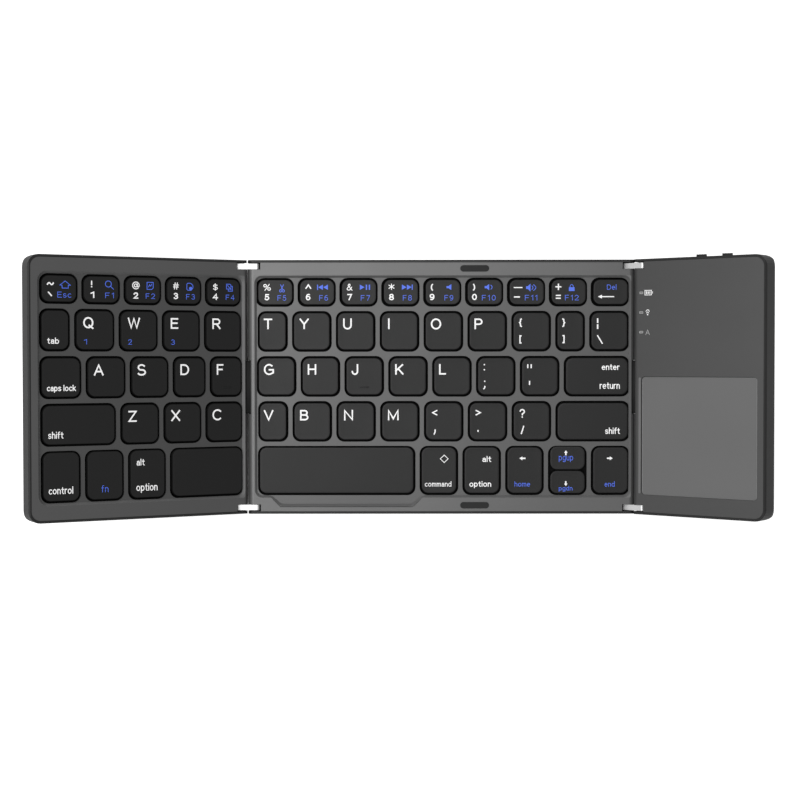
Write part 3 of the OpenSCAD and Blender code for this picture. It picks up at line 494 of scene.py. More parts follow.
centreMarks = {
    (0, 0, 0): [("%", 2.4, 5.0, 1.85, 4.15, "white"), ("5", 2.85, 4.45, 5.3, 7.5, "white"),
                ("#scissors", 7.9, 9.8, 2.0, 4.75, "blue"), ("F5", 7.3, 10.3, 5.75, 7.6, "blue")],
    (0, 1, 0): [("^", 2.45, 4.5, 1.95, 3.55, "white"), ("6", 2.6, 4.2, 5.25, 7.5, "white"),
                ("#previous", 6.5, 10.25, 2.1, 3.9, "blue"), ("F6", 7.25, 10.25, 5.75, 7.6, "blue")],
    (0, 2, 0): [("&", 2.25, 4.25, 1.8, 4.15, "white"), ("7", 2.45, 4.1, 5.3, 7.5, "white"),
                ("#play", 6.8, 10.35, 2.1, 3.9, "blue"), ("F7", 7.15, 10.3, 5.75, 7.6, "blue")],
    (0, 3, 0): [("*", 2.25, 4.25, 1.8, 3.9, "white"), ("8", 2.4, 4.1, 5.3, 7.5, "white"),
                ("#next", 6.85, 10.6, 2.1, 3.9, "blue"), ("F8", 7.2, 10.3, 5.75, 7.6, "blue")],
    (0, 4, 0): [("(", 2.35, 3.1, 1.9, 4.2, "white"), ("9", 1.95, 3.6, 5.3, 7.5, "white"),
                ("#speaker", 7.8, 9.45, 2.0, 4.0, "blue"), ("F9", 7.1, 10.1, 5.75, 7.6, "blue")],
    (0, 5, 0): [(")", 2.45, 3.2, 1.9, 4.2, "white"), ("0", 2.1, 3.8, 5.3, 7.5, "white"),
                ("#speakerOne", 6.5, 9.15, 1.95, 4.1, "blue"), ("F10", 5.55, 10.3, 5.75, 7.6, "blue")],
    (0, 6, 0): [("#bar", 2.05, 5.05, 3.0, 3.35, "white"), ("#bar", 2.1, 4.15, 6.2, 6.65, "white"),
                ("#speakerTwo", 6.3, 9.75, 1.85, 4.55, "blue"), ("F11", 5.9, 10.15, 5.75, 7.6, "blue")],
    (0, 7, 0): [("+", 1.95, 4.0, 1.85, 4.05, "white"), ("=", 2.05, 3.8, 5.7, 7.1, "white"),
                ("#padlock", 6.6, 8.55, 2.05, 4.4, "blue"), ("F12", 5.25, 10.0, 5.75, 7.6, "blue")],
    (0, 8, 0): [("Del", 5.25, 8.5, 2.1, 3.95, "blue"), ("#longArrow", 2.1, 7.75, 5.7, 7.0, "white")],
    (1, 0, 0): [("T", 1.9, 4.85, 2.45, 6.1, "white")],
    (1, 1, 0): [("Y", 2.35, 5.55, 2.45, 6.1, "white")],
    (1, 2, 0): [("U", 2.25, 5.25, 2.45, 6.25, "white")],
    (1, 3, 0): [("I", 2.6, 3.15, 2.45, 6.15, "white")],
    (1, 4, 0): [("O", 2.2, 5.8, 2.45, 6.3, "white")],
    (1, 5, 0): [("P", 2.1, 4.9, 2.5, 6.2, "white")],
    (1, 6, 0): [("{", 2.3, 3.35, 2.5, 5.45, "white"), ("[", 2.45, 3.2, 8.3, 11.2, "white")],
    (1, 7, 0): [("}", 2.05, 3.15, 2.5, 5.45, "white"), ("]", 2.15, 2.9, 8.25, 11.1, "white")],
    (1, 8, 0): [("#brokenBar", 2.3, 2.8, 2.5, 6.15, "white"), ("\\", 2.35, 4.35, 8.3, 11.3, "white")],
    (2, 0, 0): [("G", 2.2, 5.7, 2.55, 6.4, "white")],
    (2, 1, 0): [("H", 2.2, 5.15, 2.65, 6.3, "white")],
    (2, 2, 0): [("J", 2.2, 4.5, 2.65, 6.4, "white")],
    (2, 3, 0): [("K", 2.1, 5.0, 2.65, 6.3, "white")],
    (2, 4, 0): [("L", 2.1, 4.5, 2.65, 6.3, "white")],
    (2, 5, 0): [(":", 2.25, 2.9, 2.65, 4.85, "white"), (";", 2.2, 2.95, 8.4, 11.4, "white")],
    (2, 6, 0): [('"', 2.2, 3.8, 2.75, 4.1, "white"), ("'", 2.8, 3.25, 8.5, 9.9, "white")],
    (2, 7, 0): [("enter", 12.8, 18.95, 2.8, 4.75, "white"), ("return", 12.1, 19.05, 9.1, 11.3, "white")],
    (3, 0, 0): [("V", 1.75, 5.05, 2.95, 6.6, "white")],
    (3, 1, 0): [("B", 2.35, 5.25, 2.9, 6.55, "white")],
    (3, 2, 0): [("N", 2.4, 5.55, 2.9, 6.55, "white")],
    (3, 3, 0): [("M", 2.4, 6.15, 2.85, 6.5, "white")],
    (3, 4, 0): [("<", 2.5, 4.35, 2.95, 4.85, "white"), (",", 3.05, 3.8, 9.7, 11.5, "white")],
    (3, 5, 0): [(">", 2.4, 4.25, 2.95, 4.85, "white"), (".", 2.95, 3.55, 9.9, 10.55, "white")],
    (3, 6, 0): [("?", 2.45, 4.3, 2.65, 5.65, "white"), ("/", 2.85, 4.05, 8.45, 11.35, "white")],
    (3, 7, 0): [("shift", 16.9, 21.95, 9.1, 11.3, "white")],
    (4, 1, 0): [("#diamond", 6.75, 9.7, 2.9, 5.7, "white"), ("command", 1.5, 10.7, 12.1, 13.95, "white")],
    (4, 2, 0): [("alt", 6.6, 9.65, 3.35, 5.4, "white"), ("option", 2.1, 9.65, 12.05, 14.5, "white")],
    (4, 3, 0): [("#leftArrow", 4.6, 6.7, 3.5, 4.8, "white"), ("home", 2.9, 8.3, 12.15, 13.95, "blue")],
    (4, 4, 0): [("#upArrow", 5.2, 6.45, 1.4, 3.1, "white"), ("pgup", 3.4, 8.35, 3.35, 5.45, "blue")],
    (4, 4, 1): [("#downArrow", 5.2, 6.45, 12.1, 13.75, "white"), ("pgdn", 3.4, 8.15, 13.75, 15.7, "blue")],
    (4, 5, 0): [("#rightArrow", 5.2, 7.2, 3.5, 4.8, "white"), ("end", 4.4, 7.9, 12.15, 14.0, "blue")],
}

printing = {"lift": 0.02, "letter": 0.53, "word": 0.3, "tight": 0.22, "figure": 0.42, "sign": 0.3,
            "blue": 0.19, "icon": 0.22}
printFrom = {
    "rear": [37.55, 26.2, 10.6, -5.0, -20.6],
    "left": [-73.6, -73.7, -73.7, -73.5, -73.4],
    "centre": [-64.0, -63.4, -63.7, -63.3, -63.4],
}


def arc(cx, cy, rx, ry, start, end, steps=14):
    points = []
    for i in range(steps + 1):
        angle = math.radians(start + (end - start) * i / steps)
        points.append((cx + rx * math.cos(angle), cy + ry * math.sin(angle)))
    return points


def ring(cx, cy, rx, ry):
    return ("loop", arc(cx, cy, rx, ry, 0, 342, 19))


def line(*points):
    return ("line", list(points))


def bar(x0, x1, y0=0, y1=1):
    return ("fill", [(x0, y0), (x1, y0), (x1, y1), (x0, y1)])


def horn(width):
    return ("fill", [(0, 0.32), (0.4 * width, 0.32), (width, 0), (width, 1), (0.4 * width, 0.68), (0, 0.68)])


bowl = ring(0.29, 0.35, 0.29, 0.35)
letters = {      # drawn with a pen: capitals are 1 high, small letters 0.7
    "A": [line((0, 0), (0.45, 1), (0.9, 0)), line((0.15, 0.33), (0.75, 0.33))],
    "B": [("line", [(0.4, 0.52), (0, 0.52), (0, 1), (0.4, 1)] + arc(0.42, 0.76, 0.26, 0.24, 90, -90)
           + arc(0.44, 0.26, 0.31, 0.26, 90, -90) + [(0, 0), (0, 0.52)])],
    "C": [("line", arc(0.45, 0.5, 0.45, 0.5, 48, 312))],
    "D": [("loop", [(0, 0), (0, 1)] + arc(0.34, 0.5, 0.46, 0.5, 90, -90))],
    "E": [line((0.65, 1), (0, 1), (0, 0), (0.65, 0)), line((0, 0.53), (0.58, 0.53))],
    "F": [line((0.6, 1), (0, 1), (0, 0)), line((0, 0.5), (0.52, 0.5))],
    "G": [("line", arc(0.46, 0.5, 0.46, 0.5, 50, 300) + [(0.9, 0.16), (0.9, 0.47), (0.5, 0.47)])],
    "H": [line((0, 0), (0, 1)), line((0.75, 0), (0.75, 1)), line((0, 0.52), (0.75, 0.52))],
    "I": [line((0, 0), (0, 1))],
    "J": [("line", [(0.6, 1), (0.6, 0.3)] + arc(0.3, 0.3, 0.3, 0.3, 0, -175))],
    "K": [line((0, 0), (0, 1)), line((0.7, 1), (0, 0.36)), line((0.24, 0.58), (0.74, 0))],
    "L": [line((0, 1), (0, 0), (0.6, 0))],
    "M": [line((0, 0), (0, 1), (0.45, 0.08), (0.9, 1), (0.9, 0))],
    "N": [line((0, 0), (0, 1), (0.75, 0), (0.75, 1))],
    "O": [ring(0.45, 0.5, 0.45, 0.5)],
    "P": [("line", [(0, 0), (0, 1)] + arc(0.4, 0.73, 0.28, 0.27, 90, -90) + [(0, 0.46)])],
    "Q": [ring(0.45, 0.54, 0.45, 0.46), line((0.55, 0.28), (0.9, 0.02))],
    "R": [("line", [(0, 0), (0, 1)] + arc(0.4, 0.73, 0.28, 0.27, 90, -90) + [(0, 0.46)]),
          line((0.36, 0.46), (0.7, 0))],
    "S": [("line", arc(0.36, 0.745, 0.31, 0.255, 35, 262) + arc(0.36, 0.255, 0.36, 0.255, 82, -148))],
    "T": [line((0, 1), (0.75, 1)), line((0.375, 1), (0.375, 0))],
    "U": [("line", [(0, 1)] + arc(0.37, 0.36, 0.37, 0.36, 180, 360) + [(0.74, 1)])],
    "V": [line((0, 1), (0.4, 0), (0.8, 1))],
    "W": [line((0, 1), (0.28, 0), (0.58, 1), (0.88, 0), (1.16, 1))],
    "X": [line((0, 1), (0.75, 0)), line((0.75, 1), (0, 0))],
    "Y": [line((0, 1), (0.38, 0.45), (0.76, 1)), line((0.38, 0.45), (0.38, 0))],
    "Z": [line((0, 1), (0.7, 1), (0, 0), (0.7, 0))],
    "0": [ring(0.3, 0.5, 0.3, 0.5)],
    "1": [line((0, 0.8), (0.22, 1), (0.22, 0))],
    "2": [("line", arc(0.3, 0.71, 0.29, 0.29, 165, -35) + [(0, 0), (0.62, 0)])],
    "3": [("line", arc(0.29, 0.755, 0.27, 0.245, 150, -90) + arc(0.29, 0.26, 0.31, 0.26, 90, -150))],
    "4": [line((0.48, 0), (0.48, 1), (0, 0.3), (0.66, 0.3))],
    "5": [("line", [(0.56, 1), (0.1, 1), (0.04, 0.5)] + arc(0.28, 0.32, 0.32, 0.32, 130, -150))],
    "6": [ring(0.3, 0.31, 0.3, 0.31), ("line", arc(0.36, 0.46, 0.36, 0.54, 195, 66))],
    "7": [line((0, 1), (0.6, 1), (0.2, 0))],
    "8": [ring(0.3, 0.755, 0.26, 0.245), ring(0.3, 0.26, 0.31, 0.26)],
    "9": [ring(0.3, 0.69, 0.3, 0.31), ("line", arc(0.24, 0.54, 0.36, 0.54, 15, -114))],
    "a": [("line", arc(0.26, 0.5, 0.22, 0.2, 160, 0) + [(0.48, 0)]),
          ("line", [(0.48, 0.4), (0.22, 0.4)] + arc(0.2, 0.2, 0.2, 0.2, 90, 270) + [(0.48, 0.1)])],
    "b": [line((0, 1.05), (0, 0)), bowl],
    "c": [("line", arc(0.3, 0.35, 0.3, 0.35, 50, 310))],
    "d": [bowl, line((0.58, 1.05), (0.58, 0))],
    "e": [("line", [(0.02, 0.37)] + arc(0.3, 0.35, 0.29, 0.35, 5, 308))],
    "f": [("line", [(0.14, 0), (0.14, 0.8)] + arc(0.34, 0.83, 0.2, 0.22, 180, 80)), line((0, 0.66), (0.36, 0.66))],
    "g": [bowl, ("line", [(0.58, 0.7), (0.58, -0.08)] + arc(0.29, -0.08, 0.29, 0.22, 0, -150))],
    "h": [line((0, 1.05), (0, 0)), ("line", arc(0.26, 0.42, 0.26, 0.28, 180, 0) + [(0.52, 0)])],
    "i": [line((0, 0.7), (0, 0)), line((0, 1.02), (0, 1))],
    "k": [line((0, 1.05), (0, 0)), line((0.48, 0.7), (0, 0.26)), line((0.17, 0.42), (0.52, 0))],
    "l": [line((0, 1.05), (0, 0))],
    "m": [line((0, 0.7), (0, 0)), ("line", arc(0.21, 0.45, 0.21, 0.25, 180, 0) + [(0.42, 0)]),
          ("line", arc(0.63, 0.45, 0.21, 0.25, 180, 0) + [(0.84, 0)])],
    "n": [line((0, 0.7), (0, 0)), ("line", arc(0.26, 0.42, 0.26, 0.28, 180, 0) + [(0.52, 0)])],
    "o": [ring(0.31, 0.35, 0.31, 0.35)],
    "p": [line((0, 0.7), (0, -0.3)), bowl],
    "r": [line((0, 0.7), (0, 0)), ("line", arc(0.24, 0.42, 0.24, 0.28, 180, 70))],
    "s": [("line", arc(0.25, 0.52, 0.22, 0.18, 35, 262) + arc(0.25, 0.18, 0.25, 0.18, 82, -148))],
    "t": [("line", [(0.16, 0.95)] + arc(0.34, 0.2, 0.18, 0.2, 180, 275)), line((0, 0.68), (0.36, 0.68))],
    "u": [("line", [(0, 0.7)] + arc(0.26, 0.28, 0.26, 0.28, 180, 360) + [(0.52, 0.7)]), line((0.52, 0.3), (0.52, 0))],
    " ": [],
    "~": [line((0, 0.2), (0.14, 0.8), (0.32, 0.95), (0.5, 0.5), (0.68, 0.05), (0.86, 0.2), (1, 0.8))],
    "`": [line((0, 1), (1, 0))],
    "!": [line((0, 1), (0, 0.42)), line((0, 0.02), (0, 0))],
    "@": [("line", arc(0.5, 0.5, 0.5, 0.5, -50, -350, 20) + arc(0.85, 0.45, 0.14, 0.16, 0, -180, 6) + [(0.71, 0.74)]),
          ring(0.47, 0.5, 0.21, 0.22)],
    "#": [line((0.2, 0), (0.36, 1)), line((0.64, 0), (0.8, 1)), line((0, 0.33), (0.95, 0.33)),
          line((0.05, 0.67), (1, 0.67))],
    "$": [("line", arc(0.36, 0.665, 0.3, 0.185, 30, 262) + arc(0.36, 0.3, 0.34, 0.185, 82, -150)),
          line((0.36, 1), (0.36, 0))],
    "%": [ring(0.2, 0.78, 0.2, 0.22), ring(0.8, 0.22, 0.2, 0.22), line((0.82, 1), (0.18, 0))],
    "^": [line((0, 0), (0.5, 1), (1, 0))],
    "&": [line((1, 0), (0.3, 0.66), (0.22, 0.84), (0.35, 1), (0.52, 1), (0.62, 0.84), (0.52, 0.66),
               (0.12, 0.42), (0, 0.22), (0.14, 0.03), (0.42, 0), (0.72, 0.16), (0.92, 0.48))],
    "*": [line((0.5, 1), (0.5, 0)), line((0, 0.8), (1, 0.2)), line((0, 0.2), (1, 0.8))],
    "(": [("line", arc(1, 0.5, 1, 0.6, 120, 240))],
    ")": [("line", arc(0, 0.5, 1, 0.6, 60, -60))],
    "+": [line((0.5, 1), (0.5, 0)), line((0, 0.5), (1, 0.5))],
    "=": [line((0, 1), (1, 1)), line((0, 0), (1, 0))],
    "{": [line((1, 1), (0.55, 0.95), (0.45, 0.62), (0, 0.5), (0.45, 0.38), (0.55, 0.05), (1, 0))],
    "}": [line((0, 1), (0.45, 0.95), (0.55, 0.62), (1, 0.5), (0.55, 0.38), (0.45, 0.05), (0, 0))],
    "[": [line((1, 1), (0, 1), (0, 0), (1, 0))],
    "]": [line((0, 1), (1, 1), (1, 0), (0, 0))],
    "\\": [line((0, 1), (1, 0))],
    "/": [line((0, 0), (1, 1))],
    ":": [line((0, 1), (0, 0.98)), line((0, 0.02), (0, 0))],
    ";": [line((0.9, 1), (0.9, 0.98)), line((1, 0.3), (0.9, 0.12), (0, 0))],
    '"': [line((0, 1), (0, 0)), line((1, 1), (1, 0))],
    "'": [line((0, 1), (0, 0))],
    "<": [line((1, 1), (0, 0.5), (1, 0))],
    ">": [line((0, 1), (1, 0.5), (0, 0))],
    ",": [line((1, 1), (0.9, 0.5), (0, 0))],
    ".": [line((0, 0.02), (0, 0))],
    "?": [("line", arc(0.5, 0.74, 0.5, 0.26, 165, -50) + [(0.5, 0.42), (0.5, 0.3)]), line((0.5, 0.02), (0.5, 0))],
}
icons = {
    "home": [("loop", [(0.5, 1), (1, 0.42), (0.8, 0.42), (0.78, 0), (0.22, 0), (0.2, 0.42), (0, 0.42)])],
    "lens": [ring(0.37, 0.63, 0.37, 0.37), line((0.64, 0.36), (1, 0))],
    "picture": [("loop", [(0, 0), (0, 1), (1, 1), (1, 0.25), (0.75, 0)]),
                line((0.25, 0.35), (0.42, 0.68), (0.58, 0.45), (0.76, 0.74))],
    "page": [("loop", [(0, 0.12), (0, 0.85), (0.15, 1), (0.65, 1), (1, 0.7), (1, 0.3), (0.7, 0), (0.15, 0)]),
             ("fill", arc(0.62, 0.28, 0.24, 0.22, 0, 342, 19))],
    "pages": [("loop", [(0, 0.3), (0, 1), (0.6, 1), (0.75, 0.85), (0.75, 0.3)]),
              line((0.3, 0.3), (0.3, 0), (1, 0), (1, 0.7), (0.75, 0.7)), line((0.2, 0.8), (0.8, 0.2))],
    "scissors": [line((0.2, 1), (0.7, 0.3)), line((0.8, 1), (0.3, 0.3)),
                 ring(0.2, 0.16, 0.2, 0.16), ring(0.8, 0.16, 0.2, 0.16)],
    "previous": [bar(0, 0.09), ("fill", [(0.1, 0.5), (0.54, 0), (0.54, 1)]), ("fill", [(0.56, 0.5), (1, 0), (1, 1)])],
    "next": [bar(0.91, 1), ("fill", [(0.9, 0.5), (0.46, 1), (0.46, 0)]), ("fill", [(0.44, 0.5), (0, 1), (0, 0)])],
    "play": [("fill", [(0, 0), (0.46, 0.5), (0, 1)]), bar(0.58, 0.71), bar(0.87, 1)],
    "speaker": [horn(1)],
    "speakerOne": [horn(0.58), ("line", arc(0.4, 0.5, 0.6, 0.5, -42, 42))],
    "speakerTwo": [horn(0.44), ("line", arc(0.3, 0.5, 0.4, 0.36, -42, 42)), ("line", arc(0.3, 0.5, 0.7, 0.52, -48, 48))],
    "padlock": [bar(0, 1, 0, 0.56), ("line", arc(0.5, 0.56, 0.33, 0.44, 0, 180))],
    "longArrow": [("fill", [(0, 0.5), (0.25, 0), (0.25, 1)]), bar(0.2, 1, 0.36, 0.64)],
    "leftArrow": [("fill", [(0, 0.5), (0.5, 0), (0.5, 1)]), bar(0.45, 1, 0.31, 0.69)],
    "rightArrow": [("fill", [(1, 0.5), (0.5, 1), (0.5, 0)]), bar(0, 0.55, 0.31, 0.69)],
    "upArrow": [("fill", [(0.5, 1), (0, 0.5), (1, 0.5)]), bar(0.31, 0.69, 0, 0.55)],
    "downArrow": [("fill", [(0.5, 0), (1, 0.5), (0, 0.5)]), bar(0.31, 0.69, 0.45, 1)],
    "bar": [bar(0, 1)],
    "brokenBar": [bar(0, 1, 0, 0.44), bar(0, 1, 0.56, 1)],
    "diamond": [("loop", [(0.5, 1), (1, 0.5), (0.5, 0), (0, 0.5)])],
    "cell": [("loop", [(0, 0), (0.86, 0), (0.86, 1), (0, 1)]), bar(0.93, 1, 0.3, 0.7),
             bar(0.16, 0.28, 0.25, 0.75), bar(0.38, 0.5, 0.25, 0.75), bar(0.6, 0.7, 0.25, 0.75)],
    "waves": [("fill", arc(0.5, 0.12, 0.16, 0.12, 0, 342, 19)), ("line", arc(0.5, 0.12, 0.34, 0.42, 35, 145)),
              ("line", arc(0.5, 0.12, 0.6, 0.82, 40, 140))],
}


def strokeBand(points, width, closed):
    points = [Vector(p) for p in points]
    points = [p for i, p in enumerate(points) if not i or (p - points[i - 1]).length > 1e-4]
    count = len(points)
    if not closed:
        first = (points[0] - points[1]).normalized() * width / 2
        last = (points[-1] - points[-2]).normalized() * width / 2
        points[0], points[-1] = points[0] + first, points[-1] + last
    corners, faces = [], []
    for i, here in enumerate(points):
        ways = []
        if i or closed:
            ways.append((here - points[i - 1]).normalized())
        if i < count - 1 or closed:
            ways.append((points[(i + 1) % count] - here).normalized())
        square = Vector((-ways[0].y, ways[0].x))
        way = ways[0] + ways[-1]
        way = way.normalized() if way.length > 1e-6 else ways[0]
        across = Vector((-way.y, way.x))
        reach = width / 2 / max(0.5, across.dot(square))
        corners.append(here + across * reach)
        corners.append(here - across * reach)
    for i in range(count if closed else count - 1):
        j = (i + 1) % count
        faces.append((2 * i + 1, 2 * j + 1, 2 * j, 2 * i))
    return corners, faces


def penWord(text):
    strokes, x = [], 0
    gap = 0.45 if text[0] == "F" and len(text) > 1 else 0.3
    for letter in text:
        parts = letters[letter]
        across = [p[0] for kind, points in parts for p in points] or [0, 0.1]
        for kind, points in parts:
            strokes.append((kind, [(x + px, py) for px, py in points]))
        x += max(across) + gap
    return strokes


def markShapes(mark, x, rear):
    what, x0, x1, y0, y1, ink = mark
    low, high = rear - y1, rear - y0
    x0, x1 = x + x0, x + x1
    if len(what) > 2 and what[0] == "#":
        strokes, pen = icons[what[1:]], printing["icon"]
        left, right, under, over = 0, 1, 0, 1
    else:
        strokes = penWord(what)
        every = [p for kind, points in strokes for p in points]
        left, right = min(p[0] for p in every), max(p[0] for p in every)
        under, over = min(p[1] for p in every), max(p[1] for p in every)
        pen = printing["letter"] if high - low > 3.4 and len(what) == 1 else printing["figure"]
        pen = printing["word"] if len(what) > 1 else pen
        pen = printing["tight"] if "mm" in what else pen
        pen = printing["sign"] if what in "%@&#$*" else pen
        pen = printing["blue"] if ink != "white" else pen
    shapes = []
    for kind, points in strokes:
        pad = 0 if kind == "fill" else pen / 2
        placed = []
        for px, py in points:
            sx = (px - left) / (right - left) if right - left > 1e-6 else 0.5
            sy = (py - under) / (over - under) if over - under > 1e-6 else 0.5
            placed.append((x0 + pad + sx * (x1 - x0 - 2 * pad), low + pad + sy * (high - low - 2 * pad)))
        if kind == "fill":
            shapes.append((placed, [tuple(range(len(placed)))]))
        else:
            shapes.append(strokeBand(placed, pen, kind == "loop"))
    return shapes


def addPrint(name, marks, place, body, level):
    points, faces, inkOf = [], [], []
    for mark, x, rear, space in marks:
        for outline, parts in markShapes(mark, x, rear):
            start = len(points)
            for px, py in outline:
                sink = dishDepth(space, px) if space else 0
                points.append((px * mm, py * mm, (level - sink + printing["lift"]) * mm))
            for part in parts:
                faces.append(tuple(start + i for i in part))
                inkOf.append(("white", "blue", "grey").index(mark[5]))
    mesh = bpy.data.meshes.new(name)
    mesh.from_pydata(points, [], faces)
    inks = [finishes[ink] for ink in ("key_print", "blue_print", "grey_print")]
    piece = addPiece(name, mesh, place, body, inks)
    for face, ink in zip(mesh.polygons, inkOf):
        face.material_index = ink
    return piece


def addKeyPrints(panel):
    marks = leftMarks if panel == "left" else centreMarks
    spaces = keySpaces(panel)
    rows = {}
    for key, listed in marks.items():
        node, space = spaces[key]
        for mark in listed:
            x = space[0] - keyRows[panel + "Start"][key[0]] + printFrom[panel][key[0]]
            rear = printFrom["rear"][key[0]]
            rows.setdefault(node, []).append((mark, x, rear, space))
    for node, listed in rows.items():
        addPrint(niceName(node) + "Print", listed, places[panel], node, keyShape["top"])
    print("folding keyboard:", panel, "panel has", sum(len(r) for r in rows.values()), "printed marks")


addKeyPrints("left")
addKeyPrints("centre")

wingMarks = [
    ("#cell", 5.0, 8.15, -33.25, -31.45, "white"),
    ("#waves", 5.4, 7.0, -26.7, -24.6, "white"),
    ("A", 5.4, 7.0, -19.7, -17.9, "grey"),
]
addPrint("wingPrint", [(mark, 0, 0, None) for mark in wingMarks], places["right"], "right_wing", 0)

# closed mesh from rings of points, one after another, with both ends filled

def ringMesh(name, stacks):
    build = bmesh.new()
    for rings in stacks:
        loops = [[build.verts.new((x * mm, y * mm, z * mm)) for x, y, z in ring] for ring in rings]
        count = len(loops[0])
        for lower, upper in zip(loops, loops[1:]):
            for i in range(count):
                build.faces.new((lower[i], lower[(i + 1) % count], upper[(i + 1) % count], upper[i]))
        build.faces.new(loops[-1])
        build.faces.new(loops[0][::-1])
    mesh = bpy.data.meshes.new(name)
    bmesh.ops.recalc_face_normals(build, faces=build.faces)
    build.to_mesh(mesh)
    build.free()
    return mesh


def padRings(x0, x1, y0, y1, low, high, radius, edge, inner=()):
    rings = [[(x, y, low) for x, y in roundedLoop(x0, x1, y0, y1, radius)]]
    for i in range(5):
        angle = math.radians(90 * i / 4)
        inward = edge * (1 - math.cos(angle))
        z = high - edge * (1 - math.sin(angle))
        rings.append([(x, y, z) for x, y in roundedLoop(
            x0 + inward, x1 - inward, y0 + inward, y1 - inward, max(0.02, radius - inward))])
    for inward, z in inner:
        rings.append([(x, y, z) for x, y in roundedLoop(
            x0 + inward, x1 - inward, y0 + inward, y1 - inward, max(0.02, radius - inward))])
    return rings


def paint(mesh, place, test, index):
    turned = place.inverted()
    for face in mesh.polygons:
        if test(turned @ face.center):
            face.material_index = index


# bars that a finger finds on two of the home keys

bars = {"long": 3.3, "wide": 0.5, "fromRear": 10.4, "aside": 0.0, "high": 0.14}


def addBar(panel, column):
    node, space = keySpaces(panel)[(2, column, 0)]
    middle = (space[0] + space[1]) / 2 + bars["aside"]
    y = space[3] - bars["fromRear"]
    top = keyShape["top"]
    rings = padRings(middle - bars["long"] / 2, middle + bars["long"] / 2, y - bars["wide"] / 2,
                     y + bars["wide"] / 2, top - 0.1, top + bars["high"], 0.24, 0.14)
    mesh = ringMesh(panel + "HomingBar", [rings])
    smooth(mesh)
    addPiece(mesh.name, mesh, places[panel], node, [finishes["key_plastic"]])


addBar("left", 4)
addBar("centre", 2)

# sloped step from the rim down to the key web, with rounder corners than the opening itself

keyField = {
    "front": -38.35,
    "rear": 38.6,
    "centre": [-64.7, 65.6],
    "left": [-74.6, -1.675],
    "corner": 2.6,
    "run": 0.75,        # how far the slope reaches inward
    "rise": [-0.985, -0.015],
    "dip": [-59.2, -55.9, -10.0, -6.5],      # corners of the dip in front of the space bar, along x
    "dipFront": -41.3,
    "dipCorner": 1.1,
}


def roundCorner(before, here, after, reach, steps=4):
    before, here, after = Vector(before), Vector(here), Vector(after)
    start = here + (before - here).normalized() * reach
    end = here + (after - here).normalized() * reach
    points = []
    for i in range(steps + 1):
        t = i / steps
        points.append(start.lerp(here, t).lerp(here.lerp(end, t), t))
    return points


def inwardLoop(points, distance):
    moved = []
    count = len(points)
    for i, here in enumerate(points):
        before = (here - points[i - 1]).normalized()
        after = (points[(i + 1) % count] - here).normalized()
        side = Vector((-before.y, before.x)) + Vector((-after.y, after.x))
        side.normalize()
        reach = distance / max(0.5, side.dot(Vector((-after.y, after.x))))
        moved.append(here + side * reach)
    return moved


def fieldLoop(panel, radii, dipReach):
    f = keyField
    x0, x1 = f[panel]
    y0, y1 = f["front"], f["rear"]
    points = []
    for x, y, sx, sy, start, radius in ((x1, y1, -1, -1, 0, radii[0]), (x0, y1, 1, -1, 90, radii[1]),
                                        (x0, y0, 1, 1, 180, radii[2]), (x1, y0, -1, 1, 270, radii[3])):
        points += arc(x + sx * radius, y + sy * radius, radius, radius, start, start + 90, 8)
    if panel == "centre":
        a, b, c, d = f["dip"]
        low = f["dipFront"]
        path = [(x0, y0), (a, y0), (b, low), (c, low), (d, y0), (x1, y0)]
        dip = []
        for i in range(1, 5):
            dip += roundCorner(path[i - 1], path[i], path[i + 1], dipReach)
        points[27:27] = dip
    return [Vector(p) for p in points]


def addFieldStep(panel, body):
    f = keyField
    low, high = f["rise"]
    round_ = f["corner"]
    outer = fieldLoop(panel, [0.6] * 4 if panel == "centre" else [0.6, 3, 3, 0.6], 0.1)
    top = fieldLoop(panel, [round_] * 4 if panel == "centre" else [round_, 3.2, 3.2, round_], f["dipCorner"])
    inner = inwardLoop(top, f["run"])
    build = bmesh.new()
    loops = []
    for points, z in ((outer, high), (top, high), (inner, low), (outer, low)):
        loops.append([build.verts.new((x * mm, y * mm, z * mm)) for x, y in points])
    count = len(outer)
    for first, second in zip(loops, loops[1:] + loops[:1]):
        for i in range(count):
            build.faces.new((first[i], first[(i + 1) % count], second[(i + 1) % count], second[i]))
    bmesh.ops.recalc_face_normals(build, faces=build.faces)
    mesh = bpy.data.meshes.new(panel + "FieldStep")
    build.to_mesh(mesh)
    build.free()
    addPiece(mesh.name, mesh, places[panel], body, [finishes["field_step"]])


addFieldStep("left", "left_wing")
addFieldStep("centre", "centre_panel")
print("folding keyboard: steps round the key fields are on")

# touchpad, its slightly raised lip, and the lenses over the three lamps

touchpad = {"x": 3.9, "wide": 42.7, "front": -37.1, "deep": 40.6, "top": -0.2, "thick": 1.0, "radius": 1.2,
            "edge": 0.16, "lip": 0.3}
padStrip = {"x": 2.75, "wide": 0.85, "high": 0.05}
lenses = {"x": 2.95, "long": 1.5, "wide": 0.9, "ys": [18.85, 25.6, 32.35], "bottom": -4.1, "dish": 0.06}


